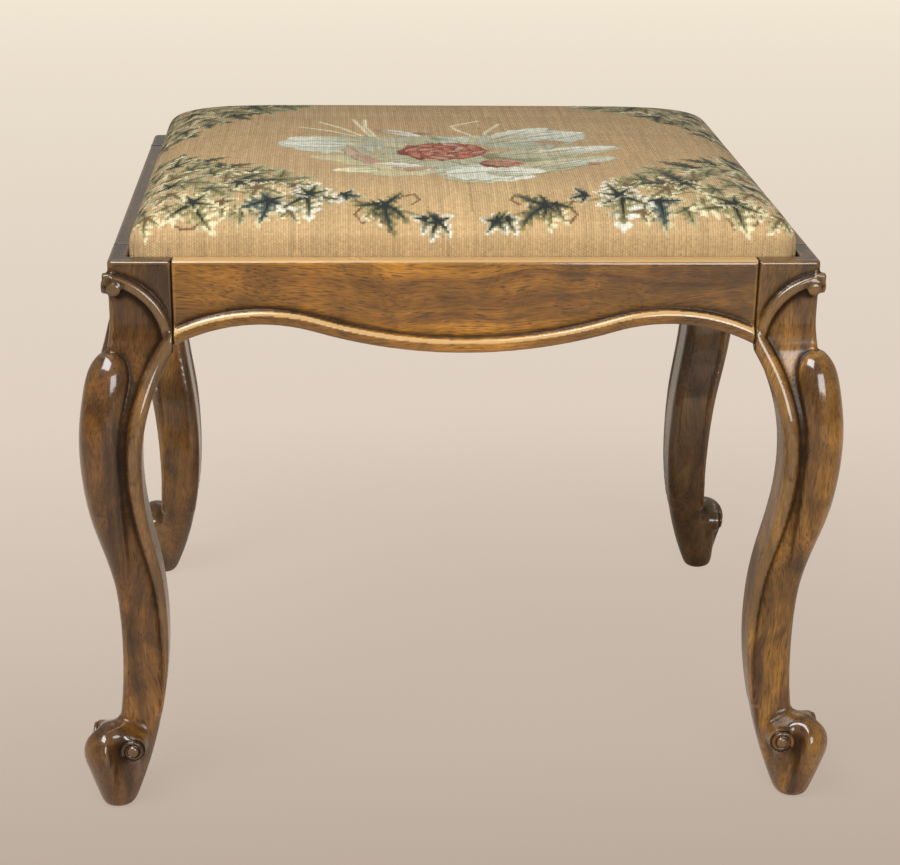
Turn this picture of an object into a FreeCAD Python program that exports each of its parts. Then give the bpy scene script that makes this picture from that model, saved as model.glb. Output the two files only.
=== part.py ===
import FreeCAD, Part
import math
import os

import Sketcher
from FreeCAD import Placement, Rotation, Vector

# A four-legged dressing stool with carved cabriole legs, serpentine beaded rails and a drop-in seat.
# Millimetres, +Z up. The origin is on the floor under the middle of the seat, +X runs along the long rails
# and the front of the stool faces -Y.

doc = FreeCAD.newDocument("dressing_stool")
sheet = doc.addObject("Spreadsheet::Sheet", "Sizes")
sizes = {
    # Frame and rails
    "frame_width": 520,
    "frame_depth": 424,
    "rail_top_height": 440,
    "post_face": 46,
    "rail_thickness": 25,
    "land_width": 13,
    "rebate_depth": 16,
    "rail_depth_centre": 70,
    "rail_depth_arch": 48,
    "arch_from_post": 64,
    "arch_radius": 136,
    "bead_height": 11,
    "bead_out": 4,
    "bead_round": 3.8,
    "arris_round": 2.5,

    # Legs: drops are measured down from the top of the rails, heights up from the floor, and outs and ins
    # from the two outer faces of the post
    "post_corner_round": 4,
    "neck_drop": 40,
    "knee_drop": 142,
    "knee_out": 20.5,
    "calf_drop": 154,
    "calf_in": 19.7,
    "ankle_height": 129,
    "ankle_out": 1.5,
    "shin_height": 143,
    "shin_in": 33.8,
    "inner_round": 8,
    "side_round": 2,
    "neck_side_round": 0.5,
    "knee_corner_round": 12,
    "tongue_out": 25.4,
    "tongue_top_drop": 68,
    "tongue_shoulder": 17,
    "tongue_brow_radius": 216,
    "tongue_width": 36,
    "tongue_stand": -1.2,
    "tongue_point_height": 146,
    "leg_bead_knee": 6.2,
    "leg_bead_ankle": 2.6,
    "leg_bead_end": 0.8,
    "leg_bead_end_height": 78,
    "hood_radius": 54,
    "hood_width": 8,
    "hood_out": 3.6,
    "hood_round": 2.8,
    "hood_centre_out": 8,
    "hood_centre_drop": 63,
    "hood_button_radius": 5.2,
    "hood_button_drop": 20.5,
    "hood_button_out": 5.2,
    "hood_button_in": 4.5,
    "hood_button_round": 2,
    "scroll_radius": 23,
    "scroll_out": 11.5,
    "scroll_height": 49,
    "scroll_waist_drop": 4,
    "scroll_waist_in": 0.7,
    "pad_radius": 13,
    "pad_out": 8,
    "cheek_out": 22,
    "cheek_run": 11,
    "volute_radius": 10.2,
    "volute_in": 6,
    "volute_height": 54,
    "volute_out": 25,
    "volute_round": 2.5,
    "eye_radius": 4.5,
    "eye_out": 3,
    "eye_round": 2.2,

    # Joints
    "dowel_diameter": 10,
    "dowel_length": 52,
    "dowel_drop": 27,
    "dowel_pitch": 21,
    "glue_line": 0.05,
    "block_reach": 64,
    "block_height": 26,
    "block_drop": 20,
    "screw_diameter": 4.5,
    "screw_head_diameter": 9,
    "screw_head_height": 3,
    "screw_length": 38,
    "screw_into_rail": 15,
    "screw_from_dowel": 5,
    "screw_clearance": 0.3,

    # Drop-in seat
    "seat_clearance": 1.2,
    "seat_rest_gap": 0.1,
    "seat_corner_round": 11,
    "cover_thickness": 1.8,
    "calico_thickness": 0.8,
    "layer_gap": 0.25,
    "hem_width": 26,
    "tack_from_hem": 6,
    "seat_member_width": 45,
    "seat_member_thickness": 20,
    "seat_edge_round": 4,
    "tenon_length": 28,
    "tenon_thickness": 8,
    "tenon_shoulder": 6,
    "webbing_width": 50,
    "webbing_thickness": 1.6,
    "webbing_on_member": 32,
    "hessian_thickness": 1,
    "crown_height": 45.5,
    "crown_fullness": 6,
    "crown_edge_height": 6,
    "tack_head_radius": 4,
    "tack_head_height": 1.2,
    "tack_shank_radius": 0.8,
    "tack_length": 11,
    "tack_spacing": 42,
}
for row, (alias, value) in enumerate(sizes.items(), start=1):
    sheet.set(f"A{row}", alias)
    sheet.set(f"B{row}", str(value))
    sheet.setAlias(f"B{row}", alias)
doc.recompute()


def of(alias):
    return float(sheet.get(alias))


def corner_place(name):
    """Where a corner of the frame is, turned so that its local +X and +Y both point outward."""
    x = of("frame_width") / 2
    y = of("frame_depth") / 2
    spot, turn = {
        "rear_right": (Vector(x, y, 0), 0),
        "rear_left": (Vector(-x, y, 0), 90),
        "front_left": (Vector(-x, -y, 0), 180),
        "front_right": (Vector(x, -y, 0), 270),
    }[name]
    return Placement(spot, Rotation(Vector(0, 0, 1), turn))


CORNERS = ["front_left", "front_right", "rear_left", "rear_right"]
nodes = []


def node(feature, label):
    feature.Label = label
    nodes.append(feature)
    return feature


def new_body(label):
    return doc.addObject("PartDesign::Body", "Body_" + label)


def sketch_on(body, name, role, offset=0.0):
    sketch = body.newObject("Sketcher::SketchObject", name)
    plane = next(f for f in body.Origin.OriginFeatures if f.Role == role)
    sketch.AttachmentSupport = (plane, [""])
    sketch.MapMode = "FlatFace"
    sketch.AttachmentOffset = Placement(Vector(0, 0, offset), Rotation())
    return sketch


def draw_loop(sketch, edges):
    """Closed outline from edges in drawing order, with each end tied to the next start."""
    first = len(sketch.Geometry)
    for edge in edges:
        sketch.addGeometry(edge, False)
    count = len(edges)
    for i in range(count):
        a = edges[i]
        b = edges[(i + 1) % count]
        end_of_a = end_toward(a, b)
        start_of_b = end_toward(b, a)
        sketch.addConstraint(
            Sketcher.Constraint("Coincident", first + i, end_of_a, first + (i + 1) % count, start_of_b)
        )


def end_toward(edge, other):
    """Which end of an edge, 1 for its start and 2 for its end, touches the other edge."""
    ends = [other.StartPoint, other.EndPoint]
    from_start = min(edge.StartPoint.distanceToPoint(p) for p in ends)
    from_end = min(edge.EndPoint.distanceToPoint(p) for p in ends)
    return 1 if from_start < from_end else 2


def polygon(points):
    corners = [Vector(x, y, 0) for x, y in points]
    return [Part.LineSegment(a, b) for a, b in zip(corners, corners[1:] + corners[:1])]


def rectangle(x0, y0, x1, y1):
    return polygon([(x0, y0), (x1, y0), (x1, y1), (x0, y1)])


def draw_circle(sketch, x, y, radius_expression):
    index = sketch.addGeometry(Part.Circle(Vector(x, y, 0), Vector(0, 0, 1), 3), False)
    number = sketch.addConstraint(Sketcher.Constraint("Radius", index, 3))
    sketch.setExpression(f"Constraints[{number}]", radius_expression)


def pad(body, sketch, length_expression, reverse=False, both_ways=False):
    feature = body.newObject("PartDesign::Pad", "Pad")
    feature.Profile = sketch
    feature.setExpression("Length", length_expression)
    feature.Reversed = reverse
    feature.Midplane = both_ways
    return feature


def pocket(body, sketch, length_expression=None, reverse=False, both_ways=False):
    before = body.Tip.Shape.Volume
    feature = body.newObject("PartDesign::Pocket", "Pocket")
    feature.Profile = sketch
    if length_expression is None:
        feature.Type = "ThroughAll"
    else:
        feature.setExpression("Length", length_expression)
    feature.Reversed = reverse
    feature.Midplane = both_ways
    doc.recompute()
    if feature.Shape.Volume > before - 1:
        raise RuntimeError("a pocket of " + body.Name + " cut nothing")
    return feature


def round_edges(body, wanted, radius_expression):
    """Fillet the edges of the body so far that the test picks out."""
    doc.recompute()
    base = body.Tip
    names = [f"Edge{i}" for i, edge in enumerate(base.Shape.Edges, 1) if wanted(edge)]
    if not names:
        raise RuntimeError("no edge to round on " + body.Name)
    feature = body.newObject("PartDesign::Fillet", "Fillet")
    feature.Base = (base, names)
    feature.setExpression("Radius", radius_expression)
    doc.recompute()
    return feature


# Two lengths count as the same within this much.
NEARLY = 0.01


def lies_at(edge, axis, value):
    """True if the whole edge lies in the plane where that coordinate has that value."""
    box = edge.BoundBox
    low = getattr(box, axis + "Min")
    high = getattr(box, axis + "Max")
    return abs(low - value) < NEARLY and abs(high - value) < NEARLY


top = of("rail_top_height")
post = of("post_face")


def arch_fall(from_arch):
    """How far the serpentine edge has fallen, that far along the rail from the top of its arch."""
    return of("arch_radius") - math.sqrt(of("arch_radius") ** 2 - from_arch**2)


joint_height = top - of("rail_depth_arch") - arch_fall(of("arch_from_post"))


# Rails. The lower edge is a serpentine of tangent arcs: a belly in the middle and an arch next to each post.
def serpentine(half, lift):
    """The arcs of the lower edge from left to right, moved up square to themselves by lift."""
    arch_x = half - of("arch_from_post")
    drop = of("rail_depth_centre") - of("rail_depth_arch")
    both_radii = (arch_x**2 + drop**2) / (2 * drop)
    arch = of("arch_radius") + lift
    belly = both_radii - of("arch_radius") - lift
    belly_z = top - of("rail_depth_centre") + lift + belly
    arch_z = top - of("rail_depth_arch") + lift - arch
    along = arch_x / (belly + arch)
    down = (belly_z - arch_z) / (belly + arch)
    meet = Vector(belly * along, belly_z - belly * down, 0)
    end = Vector(half, arch_z + math.sqrt(arch**2 - of("arch_from_post") ** 2), 0)
    low = Vector(0, belly_z - belly, 0)
    high = Vector(arch_x, arch_z + arch, 0)
    return [
        (mirrored(end), mirrored(high), mirrored(meet)),
        (mirrored(meet), low, meet),
        (meet, high, end),
    ]


def mirrored(point):
    return Vector(-point.x, point.y, 0)


def arc_geometry(start, middle, end):
    """The arc through three points, drawn the way a sketch wants it, anticlockwise."""
    circle = Part.Circle(start, middle, end)
    spots = [circle.Center, start, middle, end]
    angles = [math.atan2(p.y - spots[0].y, p.x - spots[0].x) for p in spots[1:]]
    full = 2 * math.pi
    first, last = angles[0], angles[2]
    if (angles[1] - first) % full > (last - first) % full:
        first, last = last, first
    flat = Part.Circle(spots[0], Vector(0, 0, 1), circle.Radius)
    return Part.ArcOfCircle(flat, first, first + (last - first) % full)


def rail(label, run_alias, spot, turn):
    half = of(run_alias) / 2 - post
    half_expression = f"Sizes.{run_alias} / 2 - Sizes.post_face"
    body = new_body(label)

    outline = sketch_on(body, "Outline_" + label, "XZ_Plane")
    lower = serpentine(half, 0.0)
    left_foot = lower[0][0]
    right_foot = lower[2][2]
    right_head = Vector(half, top, 0)
    left_head = Vector(-half, top, 0)
    draw_loop(
        outline,
        [arc_geometry(*arc) for arc in lower]
        + [
            Part.LineSegment(right_foot, right_head),
            Part.LineSegment(right_head, left_head),
            Part.LineSegment(left_head, left_foot),
        ],
    )
    pad(body, outline, "Sizes.rail_thickness", reverse=True)
    doc.recompute()

    bead = sketch_on(body, "Bead_" + label, "XZ_Plane")
    upper = serpentine(half, of("bead_height"))
    draw_loop(
        bead,
        [arc_geometry(*arc) for arc in lower]
        + [Part.LineSegment(right_foot, upper[2][2])]
        + [arc_geometry(*arc) for arc in upper[::-1]]
        + [Part.LineSegment(upper[0][0], left_foot)],
    )
    pad(body, bead, "Sizes.bead_out")
    round_edges(
        body,
        lambda e: lies_at(e, "Y", -of("bead_out")) and e.BoundBox.XLength > 1,
        "Sizes.bead_round",
    )
    round_edges(
        body,
        lambda e: lies_at(e, "Y", 0) and lies_at(e, "Z", top),
        "Sizes.arris_round",
    )

    rebate = sketch_on(body, "Rebate_" + label, "YZ_Plane")
    past = of("rail_thickness") + of("land_width")
    draw_loop(rebate, rectangle(of("land_width"), top - of("rebate_depth"), past, top + of("rebate_depth")))
    pocket(body, rebate, f"Sizes.{run_alias}", both_ways=True)

    dowels = sketch_on(body, "Dowels_" + label, "YZ_Plane", half)
    dowels.setExpression("AttachmentOffset.Base.z", half_expression)
    for height in dowel_heights():
        draw_circle(dowels, of("rail_thickness") / 2, height, "Sizes.dowel_diameter / 2 + Sizes.glue_line")
    holes = pocket(body, dowels, "Sizes.dowel_length / 2 + Sizes.glue_line")
    other_end = body.newObject("PartDesign::Mirrored", "OtherEnd")
    other_end.Originals = [holes]
    other_end.MirrorPlane = (next(f for f in body.Origin.OriginFeatures if f.Role == "YZ_Plane"), [""])
    body.Tip = other_end
    doc.recompute()

    screws = sketch_on(body, "Screws_" + label, "XZ_Plane", -of("rail_thickness"))
    screws.setExpression("AttachmentOffset.Base.z", "-Sizes.rail_thickness")
    for side in (-1, 1):
        x = side * (half - screw_from_post())
        draw_circle(screws, x, screw_height(), "Sizes.screw_diameter / 2 + Sizes.glue_line")
    pocket(body, screws, "Sizes.screw_into_rail + Sizes.glue_line", reverse=True)
    body.Placement = Placement(spot, Rotation(Vector(0, 0, 1), turn))
    node(body, label)


def dowel_heights():
    upper = top - of("dowel_drop")
    return [upper, upper - of("dowel_pitch")]


def screw_height():
    return top - of("block_drop") - of("block_height") / 2


def screw_from_post():
    """The screws go into the rails beyond the ends of the dowels."""
    return of("dowel_length") / 2 + of("screw_from_dowel")


rail("rail_front", "frame_width", Vector(0, -of("frame_depth") / 2, 0), 0)
rail("rail_rear", "frame_width", Vector(0, of("frame_depth") / 2, 0), 180)
rail("rail_right", "frame_depth", Vector(of("frame_width") / 2, 0, 0), 90)
rail("rail_left", "frame_depth", Vector(-of("frame_width") / 2, 0, 0), -90)


# Legs. One leg is drawn with its two outer faces on x = 0 and y = 0 and serves all four corners, turned.
knee_height = top - of("knee_drop")
calf_height = top - of("calf_drop")
neck_height = top - of("neck_drop")


def s_curve(z, z1, v1, z2, v2, share):
    """Two tangent arcs from (v1, z1) to (v2, z2), upright at both ends. Share is the first arc's part of the
    two radii together."""
    rise = z2 - z1
    step = v2 - v1
    both = (rise**2 + step**2) / (2 * abs(step))
    sign = math.copysign(1, step)
    if z < z1 + rise * share:
        radius = both * share
        return v1 + sign * (radius - math.sqrt(radius**2 - (z - z1) ** 2))
    radius = both * (1 - share)
    return v2 - sign * (radius - math.sqrt(radius**2 - (z2 - z) ** 2))


def arc_from(z, z1, v1, z2, v2):
    """One arc that is upright at (v1, z1) and passes through (v2, z2)."""
    rise = z2 - z1
    step = v2 - v1
    radius = (rise**2 + step**2) / (2 * abs(step))
    return v1 + math.copysign(1, step) * (radius - math.sqrt(radius**2 - (z - z1) ** 2))


# The first arc's share of each S curve of the leg.
NECK_SHARE = 0.5
SHANK_SHARE = 0.51
SHIN_SHARE = 0.55


def outer_face(z):
    """How far the leg's two outer faces stand out from the post at that height."""
    if z >= neck_height:
        return 0.0
    if z >= knee_height:
        return s_curve(z, knee_height, of("knee_out"), neck_height, 0.0, NECK_SHARE)
    if z >= of("ankle_height"):
        return s_curve(z, of("ankle_height"), of("ankle_out"), knee_height, of("knee_out"), SHANK_SHARE)
    return arc_from(z, of("ankle_height"), of("ankle_out"), 0.0, of("pad_out") + of("pad_radius"))


def inner_face(z):
    """How far in from the post's outer faces the leg's inner faces lie at that height."""
    if z >= joint_height:
        return post
    if z >= calf_height:
        return arc_from(z, calf_height, of("calf_in"), joint_height, post)
    if z >= of("shin_height"):
        return s_curve(z, of("shin_height"), of("shin_in"), calf_height, of("calf_in"), SHIN_SHARE)
    return arc_from(z, of("shin_height"), of("shin_in"), 0.0, of("pad_radius") - of("pad_out"))


def between(low, high, count):
    """Heights from low up to but not including high, evenly spaced."""
    return [low + (high - low) * i / count for i in range(count)]


def rounded_square(low, high, z, r_outer, r_inner, r_side):
    """A square in plan from (low, low) to (high, high) with its own radius at the outer, the inner and the
    other two corners."""
    k = 1 - math.sqrt(0.5)
    edges = []
    corners = [
        (high, high, 1, 1, r_outer),
        (low, high, -1, 1, r_side),
        (low, low, -1, -1, r_inner),
        (high, low, 1, -1, r_side),
    ]
    arcs = []
    for x, y, sx, sy, r in corners:
        beside_x = Vector(x, y - sy * r, z)
        beside_y = Vector(x - sx * r, y, z)
        middle = Vector(x - sx * r * k, y - sy * r * k, z)
        if sx == sy:
            arcs.append((beside_x, middle, beside_y))
        else:
            arcs.append((beside_y, middle, beside_x))
    for i, (start, middle, end) in enumerate(arcs):
        edges.append(Part.Arc(start, middle, end).toShape())
        edges.append(Part.LineSegment(end, arcs[(i + 1) % 4][0]).toShape())
    return Part.Wire(edges)


def corner_round(z):
    """The outer corner is close at the ankle and the joint, and eased under the tongue at the knee."""
    low = of("ankle_height")
    share = min(1.0, max(0.0, (z - low) / (joint_height - low)))
    close = of("post_corner_round")
    return close + (of("knee_corner_round") - close) * math.sin(math.pi * share)


# Between two roundings of the leg a little flat is left. Below the ankle the square slowly turns round.
SHORTEST_FLAT = 0.1
FOOT_EASE = 1.5


def leg_section(z):
    low = -inner_face(z)
    high = outer_face(z)
    half = (high - low) / 2
    foot_share = max(0.0, 1 - z / of("ankle_height"))
    full = half - SHORTEST_FLAT

    def blend(radius):
        return radius + (full - radius) * foot_share**FOOT_EASE

    outer, inner, side = blend(corner_round(z)), blend(of("inner_round")), blend(of("side_round"))
    return rounded_square(low, high, z, outer, inner, side)


def level_circle(centre, z, radius):
    circle = Part.Circle(Vector(centre, centre, z), Vector(0, 0, 1), radius)
    return Part.Wire([circle.toShape()])


def leg_stem():
    heights = (
        between(0.0, of("ankle_height"), 4)
        + between(of("ankle_height"), calf_height, 5)
        + between(calf_height, joint_height, 4)
        + [joint_height]
    )
    return Part.makeLoft([leg_section(z) for z in heights], True, False)


def leg_post():
    heights = between(joint_height, neck_height, 3) + [neck_height]
    corner = of("post_corner_round")
    inner = of("inner_round")
    side = of("neck_side_round")
    sections = [rounded_square(-post, outer_face(z), z, corner, inner, side) for z in heights]
    neck = Part.makeLoft(sections, True, False)
    head = Part.makeBox(post, post, top - neck_height, Vector(-post, -post, neck_height))
    inmost = [e for e in head.Edges if lies_at(e, "X", -post) and lies_at(e, "Y", -post)]
    head = head.makeFillet(inner, inmost)
    outmost = [e for e in head.Edges if lies_at(e, "X", 0) and lies_at(e, "Y", 0)]
    head = head.makeFillet(corner, outmost)
    rim = [e for e in head.Edges if lies_at(e, "Z", top)]
    rim = [e for e in rim if max(e.CenterOfMass.x, e.CenterOfMass.y) > -corner / 2]
    head = head.makeFillet(of("arris_round"), rim)
    return neck.fuse(head)


# How the tongue widens from its point and closes at its top, and the shares of its height where it is drawn.
TONGUE_WIDENING = 0.75
TONGUE_CLOSING = 6
TONGUE_STATIONS = [0.04, 0.12, 0.25, 0.42, 0.62, 0.82]
TONGUE_TOP_STATIONS = [0.35, 0.62, 0.82, 0.95]


def tongue():
    """The raised lobe down the outer corner: broad at the knee, domed on top and pointed above the ankle."""
    point = of("tongue_point_height")
    crest = top - of("tongue_top_drop")
    shoulder = crest - of("tongue_shoulder")

    def reach(z):
        if z < knee_height:
            ankle = outer_face(of("ankle_height")) + of("tongue_stand")
            return s_curve(z, of("ankle_height"), ankle, knee_height, of("tongue_out"), SHANK_SHARE)
        brow = of("tongue_brow_radius")
        out = of("tongue_out") - brow + math.sqrt(brow**2 - (z - knee_height) ** 2)
        if z > shoulder:
            share = (z - shoulder) / of("tongue_shoulder")
            base = outer_face(crest)
            out = base + (out - base) * math.sqrt(max(0.0, 1 - share**2))
        return out

    def radius(z):
        if z < knee_height:
            share = (z - point) / (knee_height - point)
            return of("tongue_width") / 2 * math.sin(math.pi / 2 * share) ** TONGUE_WIDENING
        share = (z - knee_height) / (crest - knee_height)
        return of("tongue_width") / 2 * math.sqrt(1 - share**TONGUE_CLOSING)

    heights = [point + (knee_height - point) * share for share in TONGUE_STATIONS]
    heights += between(knee_height, shoulder, 3) + [shoulder]
    heights += [shoulder + of("tongue_shoulder") * share for share in TONGUE_TOP_STATIONS]
    return Part.makeLoft([level_circle(reach(z) - radius(z), z, radius(z)) for z in heights], True, False)


# Where the bead's middle lies, in shares of its radius: in from the edge, and below the face.
BEAD_IN = 0.75
BEAD_SUNK = 0.3


def leg_bead():
    """The rounded bead along the inner edge of the face y = 0, in line with the bead of the rail."""
    start = joint_height + of("bead_height") / 2
    finish = of("leg_bead_end_height")

    def radius(z):
        if z < of("ankle_height"):
            share = (z - finish) / (of("ankle_height") - finish)
            return of("leg_bead_end") + (of("leg_bead_ankle") - of("leg_bead_end")) * share
        share = min(1.0, (z - of("ankle_height")) / (knee_height - of("ankle_height")))
        return of("leg_bead_ankle") + (of("leg_bead_knee") - of("leg_bead_ankle")) * share

    def spot(z):
        return Vector(-inner_face(z) + BEAD_IN * radius(z), outer_face(z) - BEAD_SUNK * radius(z), z)

    heights = between(finish, of("ankle_height"), 2) + between(of("ankle_height"), calf_height, 4)
    heights += between(calf_height, joint_height, 4)[:4]
    path = [spot(z) for z in heights]
    near = spot(joint_height - NEARLY)
    away = (near - path[-1]).normalize()
    path += [near, near + away * (start - joint_height) * 2]
    sections = []
    for i, place in enumerate(path):
        ahead = path[min(i + 1, len(path) - 1)] - path[max(i - 1, 0)]
        circle = Part.Circle(place, ahead.normalize(), radius(place.z))
        sections.append(Part.Wire([circle.toShape()]))
    return Part.makeLoft(sections, True, False)


def swap_xy(shape):
    """The same shape for the other outer face: mirrored in the plane x = y."""
    return shape.mirror(Vector(0, 0, 0), Vector(1, -1, 0).normalize())


# The hood and its button start this far inside the post.
HOOD_ROOT = 3.0


def hood():
    """Half of the arched moulding over the knee, on the face y = 0, with the button that ends it."""
    outward = Vector(0, 1, 0)
    middle = Vector(of("hood_centre_out"), -HOOD_ROOT, top - of("hood_centre_drop"))
    deep = of("hood_out") + HOOD_ROOT
    ring = Part.makeCylinder(of("hood_radius"), deep, middle, outward)
    ring = ring.cut(Part.makeCylinder(of("hood_radius") - of("hood_width"), deep, middle, outward))
    rim = [e for e in ring.Edges if lies_at(e, "Y", of("hood_out"))]
    ring = ring.makeFillet(of("hood_round"), rim)
    wide = post + of("hood_out")
    keep = Part.makeBox(wide, deep, top - joint_height, Vector(-post, -HOOD_ROOT, joint_height))
    ring = ring.common(keep)
    spot = Vector(-of("hood_button_in"), -HOOD_ROOT, top - of("hood_button_drop"))
    button = Part.makeCylinder(of("hood_button_radius"), of("hood_button_out") + HOOD_ROOT, spot, outward)
    rim = [e for e in button.Edges if lies_at(e, "Y", of("hood_button_out"))]
    button = button.makeFillet(of("hood_button_round"), rim)
    return ring, button


def volute():
    """The round scroll on the side of the foot, on the face y = 0, with its eye."""
    outward = Vector(0, 1, 0)
    root = of("volute_radius") - of("volute_in") + 1
    spot = Vector(-of("volute_in"), root, of("volute_height"))
    disc = Part.makeCylinder(of("volute_radius"), of("volute_out") - root, spot, outward)
    disc = disc.makeFillet(of("volute_round"), [e for e in disc.Edges if lies_at(e, "Y", of("volute_out"))])
    crest = of("volute_out") + of("eye_out")
    eye = Part.makeCylinder(of("eye_radius"), crest - root, spot, outward)
    eye = eye.makeFillet(of("eye_round"), [e for e in eye.Edges if lies_at(e, "Y", crest)])
    return disc, eye


def scroll_foot():
    """The rolled toe at the corner and the taper under it, cut flat on both outer faces beside the roll."""
    middle = Vector(of("scroll_out"), of("scroll_out"), of("scroll_height"))
    ball = Part.makeSphere(of("scroll_radius"), middle)
    waist = of("scroll_height") - of("scroll_waist_drop")
    taper = Part.makeLoft(
        [
            level_circle(of("pad_out"), 0.0, of("pad_radius")),
            level_circle((of("pad_out") + of("scroll_out")) / 2, waist / 2,
                         (of("pad_radius") + of("scroll_radius")) / 2),
            level_circle(of("scroll_out"), waist, of("scroll_radius") - of("scroll_waist_in")),
        ],
        True,
        False,
    )
    reach = of("scroll_out") + of("scroll_radius")
    tall = 2 * of("scroll_height") + reach
    cheek = Part.makeBox(2 * reach, reach, tall, Vector(of("cheek_run") - 2 * reach, of("cheek_out"), -reach))
    return ball.fuse(taper).cut(cheek).cut(swap_xy(cheek))


def carve_leg():
    pieces = [leg_post(), tongue()]
    bead = leg_bead()
    ring, button = hood()
    disc, eye = volute()
    for half in (bead, ring, button, disc, eye):
        pieces += [half, swap_xy(half)]
    pieces.insert(0, scroll_foot())
    leg = leg_stem()
    for piece in pieces:
        leg = leg.fuse(piece)
    reach = post + of("scroll_out") + of("scroll_radius") + of("knee_out")
    leg = leg.common(Part.makeBox(reach, reach, top, Vector(-post, -post, 0)))
    seat = of("land_width")
    deep = of("rebate_depth")
    notch = Part.makeBox(post, post, deep, Vector(-seat - post, -seat - post, top - deep))
    leg = leg.cut(notch)
    hole = of("dowel_diameter") / 2 + of("glue_line")
    deep = of("dowel_length") / 2 + of("glue_line")
    off = -of("rail_thickness") / 2
    for height in dowel_heights():
        leg = leg.cut(Part.makeCylinder(hole, deep, Vector(-post, off, height), Vector(1, 0, 0)))
        leg = leg.cut(Part.makeCylinder(hole, deep, Vector(off, -post, height), Vector(0, 1, 0)))
    return leg.removeSplitter()


leg_shape = carve_leg()
for corner in CORNERS:
    leg = doc.addObject("Part::Feature", "Leg_" + corner)
    leg.Shape = leg_shape.Solids[0]
    leg.Placement = corner_place(corner)
    node(leg, "leg_" + corner)


# Dowels: two to each joint, half in the post and half in the rail.
for corner in CORNERS:
    pins = []
    for height in dowel_heights():
        for along in ("x", "y"):
            pin = doc.addObject("Part::Cylinder", "Dowel")
            pin.setExpression("Radius", "Sizes.dowel_diameter / 2")
            pin.setExpression("Height", "Sizes.dowel_length")
            start = -post - of("dowel_length") / 2
            off = -of("rail_thickness") / 2
            if along == "x":
                pin.Placement = Placement(Vector(start, off, height), Rotation(Vector(0, 1, 0), 90))
            else:
                pin.Placement = Placement(Vector(off, start, height), Rotation(Vector(1, 0, 0), -90))
            pins.append(pin)
    group = doc.addObject("Part::Compound", "Dowels_" + corner)
    group.Links = pins
    group.Placement = corner_place(corner)
    node(group, "dowels_" + corner)


# Corner blocks: glued behind each joint, fitted round the post, with a screw into each of the two rails.
def corner_block(corner):
    body = new_body("corner_block_" + corner)
    inner = -of("rail_thickness")
    end = -post - of("block_reach")
    plan = sketch_on(body, "Plan_" + corner, "XY_Plane", top - of("block_drop"))
    plan.setExpression("AttachmentOffset.Base.z", "Sizes.rail_top_height - Sizes.block_drop")
    draw_loop(plan, polygon([(-post, inner), (end, inner), (inner, end), (inner, -post), (-post, -post)]))
    pad(body, plan, "Sizes.block_height", reverse=True)
    doc.recompute()
    along = -post - screw_from_post()
    head_at = of("rail_thickness") + of("screw_length") - of("screw_into_rail")
    clear = "Sizes.screw_diameter / 2 + Sizes.screw_clearance"
    sink = "Sizes.screw_head_diameter / 2 + Sizes.screw_clearance"
    for role, reverse, sign in (("XZ_Plane", True, 1), ("YZ_Plane", False, -1)):
        shank = sketch_on(body, "Shank_" + role[:2] + corner, role)
        draw_circle(shank, along, screw_height(), clear)
        pocket(body, shank, reverse=reverse)
        head = sketch_on(body, "Head_" + role[:2] + corner, role, sign * head_at)
        draw_circle(head, along, screw_height(), sink)
        pocket(body, head, reverse=reverse)
    body.Placement = corner_place(corner)
    node(body, "corner_block_" + corner)


for corner in CORNERS:
    corner_block(corner)


def turned(label, outline):
    """A turned pin on the Z axis from half of its outline, given as (radius, z) points."""
    body = new_body(label)
    sketch = sketch_on(body, "Half_" + label, "XZ_Plane")
    draw_loop(sketch, polygon(outline))
    spin = body.newObject("PartDesign::Revolution", "Turn")
    spin.Profile = sketch
    spin.ReferenceAxis = (next(f for f in body.Origin.OriginFeatures if f.Role == "Z_Axis"), [""])
    spin.Angle = 360
    doc.recompute()
    return body.Shape


def group_of(label, shape, places):
    feature = doc.addObject("Part::Feature", "Group_" + label)
    copies = []
    for place in places:
        copy = shape.copy()
        copy.Placement = place
        copies.append(copy)
    feature.Shape = Part.makeCompound(copies)
    node(feature, label)


# The screws stand on their points along +Z from the underside of the head, which is at z = 0.
# The slot face of the head is narrower than its rim, and a low rim is left under the chamfer.
SCREW_FACE_SHARE = 0.55
SCREW_RIM_SHARE = 0.3
head_radius = of("screw_head_diameter") / 2
shank_radius = of("screw_diameter") / 2
screw = turned(
    "screw",
    [
        (0, -of("screw_head_height")),
        (head_radius * SCREW_FACE_SHARE, -of("screw_head_height")),
        (head_radius, -of("screw_head_height") * SCREW_RIM_SHARE),
        (head_radius, 0),
        (shank_radius, 0),
        (shank_radius, of("screw_length") - of("screw_diameter")),
        (0, of("screw_length")),
    ],
)
screw_places = []
for corner in CORNERS:
    along = -post - screw_from_post()
    start = -of("rail_thickness") - of("screw_length") + of("screw_into_rail")
    for spot, turn in (
        (Vector(along, start, screw_height()), Rotation(Vector(1, 0, 0), -90)),
        (Vector(start, along, screw_height()), Rotation(Vector(0, 1, 0), 90)),
    ):
        screw_places.append(corner_place(corner).multiply(Placement(spot, turn)))
group_of("corner_block_screws", screw, screw_places)


# Drop-in seat. The cover's outside fits the rebate with a clearance, and each layer lies inside the next.
gap = of("layer_gap")
cover_half_x = of("frame_width") / 2 - of("land_width") - of("seat_clearance")
cover_half_y = of("frame_depth") / 2 - of("land_width") - of("seat_clearance")
calico_inset = of("cover_thickness") + gap
wood_inset = calico_inset + of("calico_thickness") + gap
seat_half_x = cover_half_x - wood_inset
seat_half_y = cover_half_y - wood_inset
hem_bottom = top - of("rebate_depth") + of("seat_rest_gap")
wood_bottom = hem_bottom + of("cover_thickness") + gap
wood_top = wood_bottom + of("seat_member_thickness")


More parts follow.
